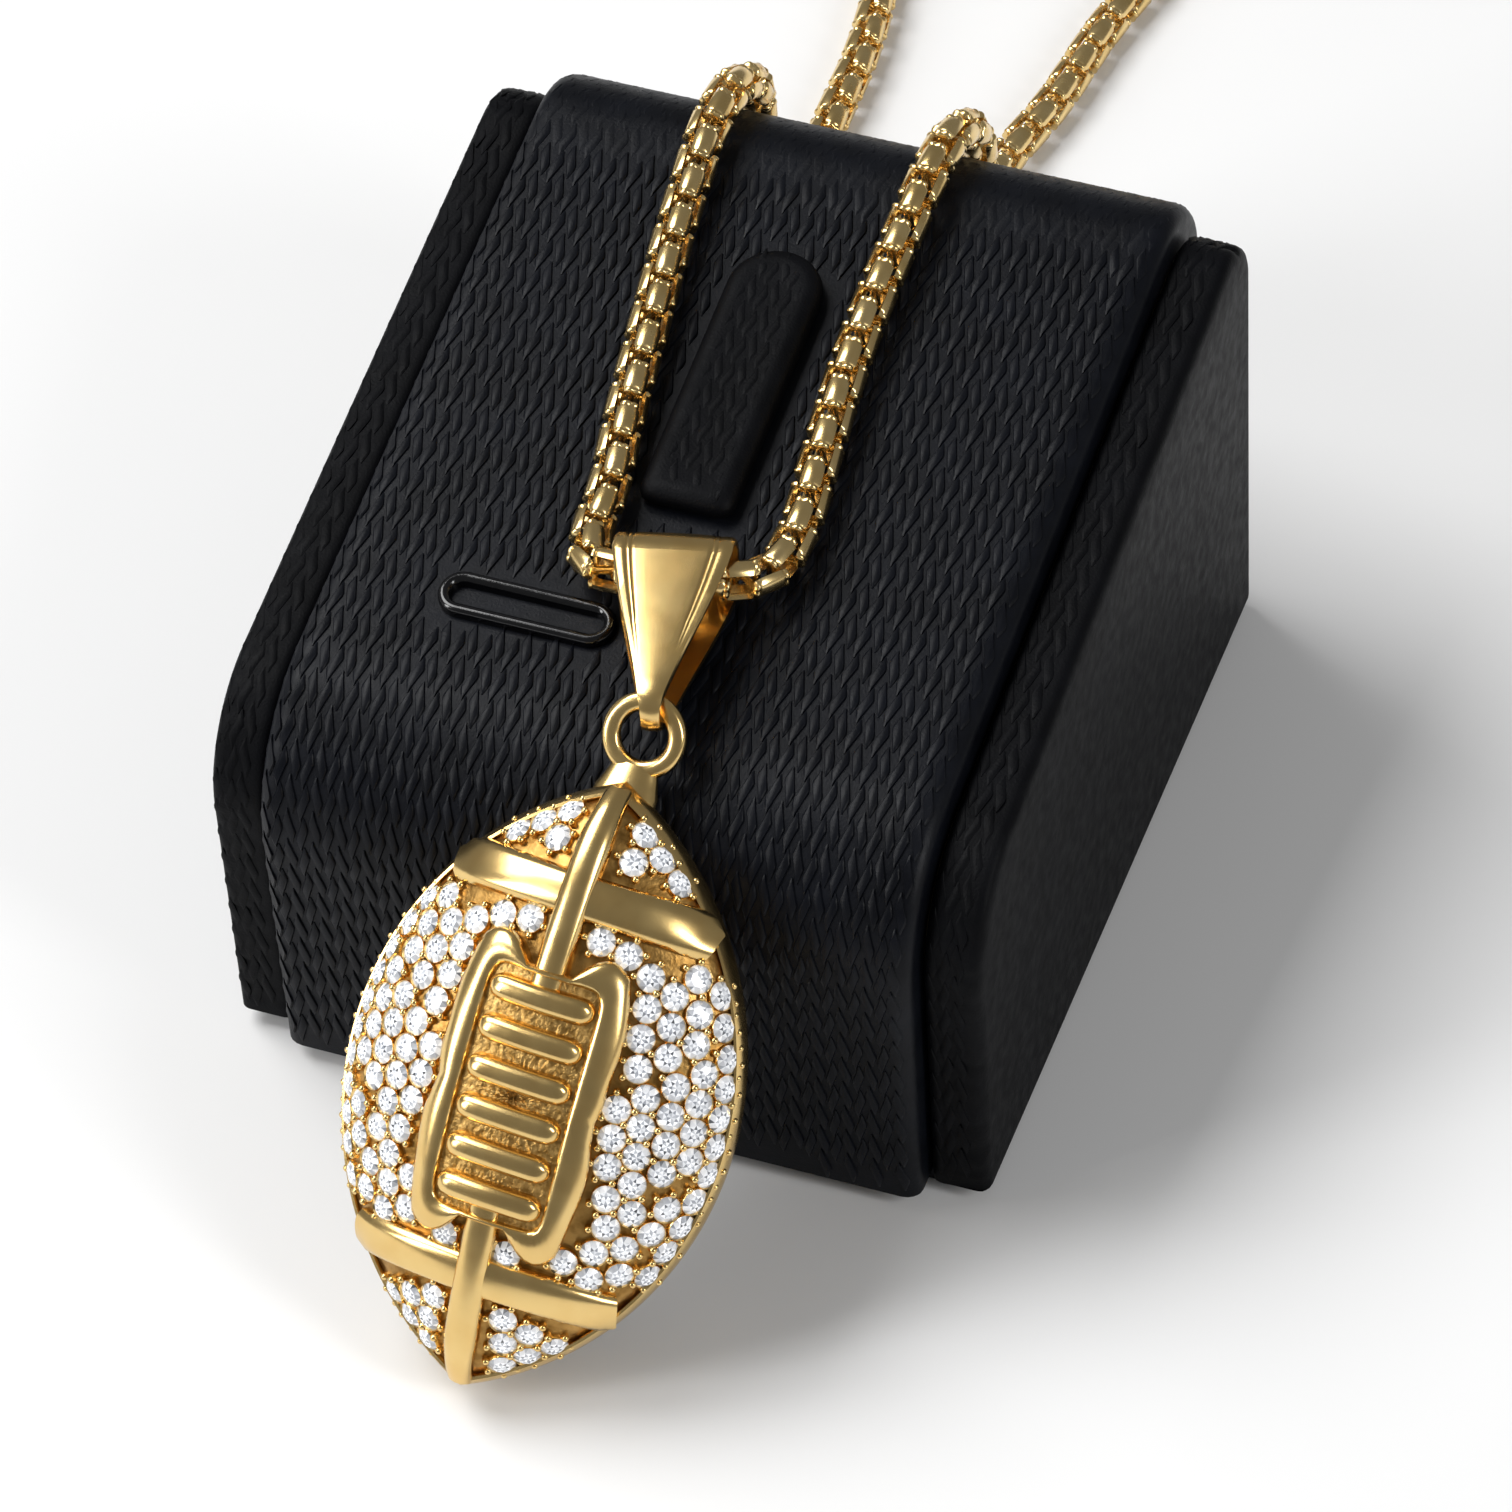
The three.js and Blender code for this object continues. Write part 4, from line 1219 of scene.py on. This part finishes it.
def build_ring(count=64, sides=20):
    """The ring at the pendant's top: a flattened wire with two shallow grooves round it."""
    shape = Shape()
    rings = []
    for k in range(count):
        angle = 2 * math.pi * k / count
        ring = []
        for j in range(sides):
            turn = 2 * math.pi * j / sides
            groove = 0.1 * math.exp(-((math.sin(turn) - 0.97) / 0.12) ** 2)
            wire = pendant["ring_wire"] * (1 - groove)
            reach = pendant["ring_radius"] + wire * math.cos(turn)
            ring.append((reach * math.cos(angle), reach * math.sin(angle), 0.92 * wire * math.sin(turn)))
        rings.append(ring)
    shape.rings(rings + rings[:1], caps=False)
    make("pendant_loop", shape, pendant_gold, "pendant", ["pendant_ring"],
         pendant_place())


# ---- carried-over CAD pieces -----------------------------------------------------------------

def finish_cad_nodes():
    """The CAD nodes that show as they are, each in its own material."""
    finishes = dict(core_block=board, pad_foam=foam, base_felt=felt, clasp_body=chain_gold,
                    # The clasp's pin is in the dark gold of painted shade.
                    clasp_trigger=chain_gold, clasp_pin=aged_gold, clasp_ring=chain_gold,
                    end_ring=chain_gold)
    for name, finish in finishes.items():
        node = frame["nodes"][name]
        node.data.materials.clear()
        node.data.materials.append(finish)


# ---- floor, light and camera -----------------------------------------------------------------

def build_floor(far=3.0):
    """The plain pale floor, as far as the camera can see."""
    mesh = bpy.data.meshes.new("floor")
    mesh.from_pydata([(-far, -far, 0), (far, -far, 0), (far, far, 0), (-far, far, 0)], [],
                     [(0, 1, 2, 3)])
    floor = bpy.data.objects.new("floor", mesh)
    bpy.context.scene.collection.objects.link(floor)
    material, tree, shader = new_material("floor", Roughness=0.9, Specular_IOR_Level=0.1)
    ramp(tree, noise(tree, 3), [(0.3, (0.77, 0.77, 0.77)), (0.7, (0.79, 0.79, 0.79))],
         shader.inputs["Base Color"])
    mesh.materials.append(material)


def add_light(name, place, size, power):
    """A white area light that faces the object; sizes and places are in metres."""
    data = bpy.data.lights.new(name, "AREA")
    data.shape = "RECTANGLE"
    data.size, data.size_y = size
    data.energy = power
    lamp = bpy.data.objects.new(name, data)
    lamp.location = place
    aim = Vector((0, 0, 0.02)) - Vector(place)
    lamp.rotation_euler = aim.to_track_quat("-Z", "Y").to_euler()
    bpy.context.scene.collection.objects.link(lamp)


def build_light():
    """A dim white world, a large key light above and two small ones in front."""
    world = bpy.data.worlds.new("studio")
    bpy.context.scene.world = world
    world.use_nodes = True
    back = world.node_tree.nodes["Background"]
    back.inputs["Color"].default_value = (1, 1, 1, 1)
    back.inputs["Strength"].default_value = 0.2
    add_light("key", (-0.5, 0.05, 0.78), (0.6, 0.5), 8)
    add_light("front_left", (-0.6, -0.5, 0.42), (0.2, 0.5), 3.6)
    add_light("right_strip", (0.6, -0.2, 0.42), (0.14, 0.4), 2.2)


def build_camera():
    """The photograph's camera, from the angles and distances in view."""
    turn, tip = math.radians(view["azimuth"]), math.radians(view["elevation"])
    roll = math.radians(view["roll"])
    back = Vector((math.sin(turn) * math.cos(tip), -math.cos(turn) * math.cos(tip), math.sin(tip)))
    level = (-back).cross(UP).normalized()
    above = level.cross(-back)
    right = level * math.cos(roll) + above * math.sin(roll)
    up = above * math.cos(roll) - level * math.sin(roll)
    place = back * view["distance"] + right * view["right"] + up * view["up"]
    data = bpy.data.cameras.new("camera")
    data.lens = view["lens"]
    data.sensor_width = view["sensor"]
    data.clip_start = 0.02
    data.clip_end = 20
    camera = bpy.data.objects.new("camera", data)
    camera.matrix_world = frame_of(right, up, back, place * MM)
    bpy.context.scene.collection.objects.link(camera)
    bpy.context.scene.camera = camera
    bpy.context.scene.view_settings.view_transform = "Standard"


# ---- everything ------------------------------------------------------------------------------

build_camera()
build_chain("chain_strand_left", left_strand(), -1, coil["on_table"], chain_roll["left"],
            ["chain_left", "chain_left_turns", "chain_left_tail"])
build_chain("chain_strand_right", right_strand(), 1, coil["upper"], chain_roll["right"],
            ["chain_right", "chain_right_turns", "chain_right_tail"])
build_pad()
build_side_board("left_side_board", -stand["width"] / 2, -stand["pad_width"] / 2 - 0.3, 3)
build_side_board("right_side_board", stand["pad_width"] / 2 + 0.3, stand["width"] / 2, 5)
build_tab()
build_slot()
build_bail()
build_ring()
build_shell()
build_seams()
build_panel()
build_laces()
build_stones()
finish_cad_nodes()
build_floor()
build_light()
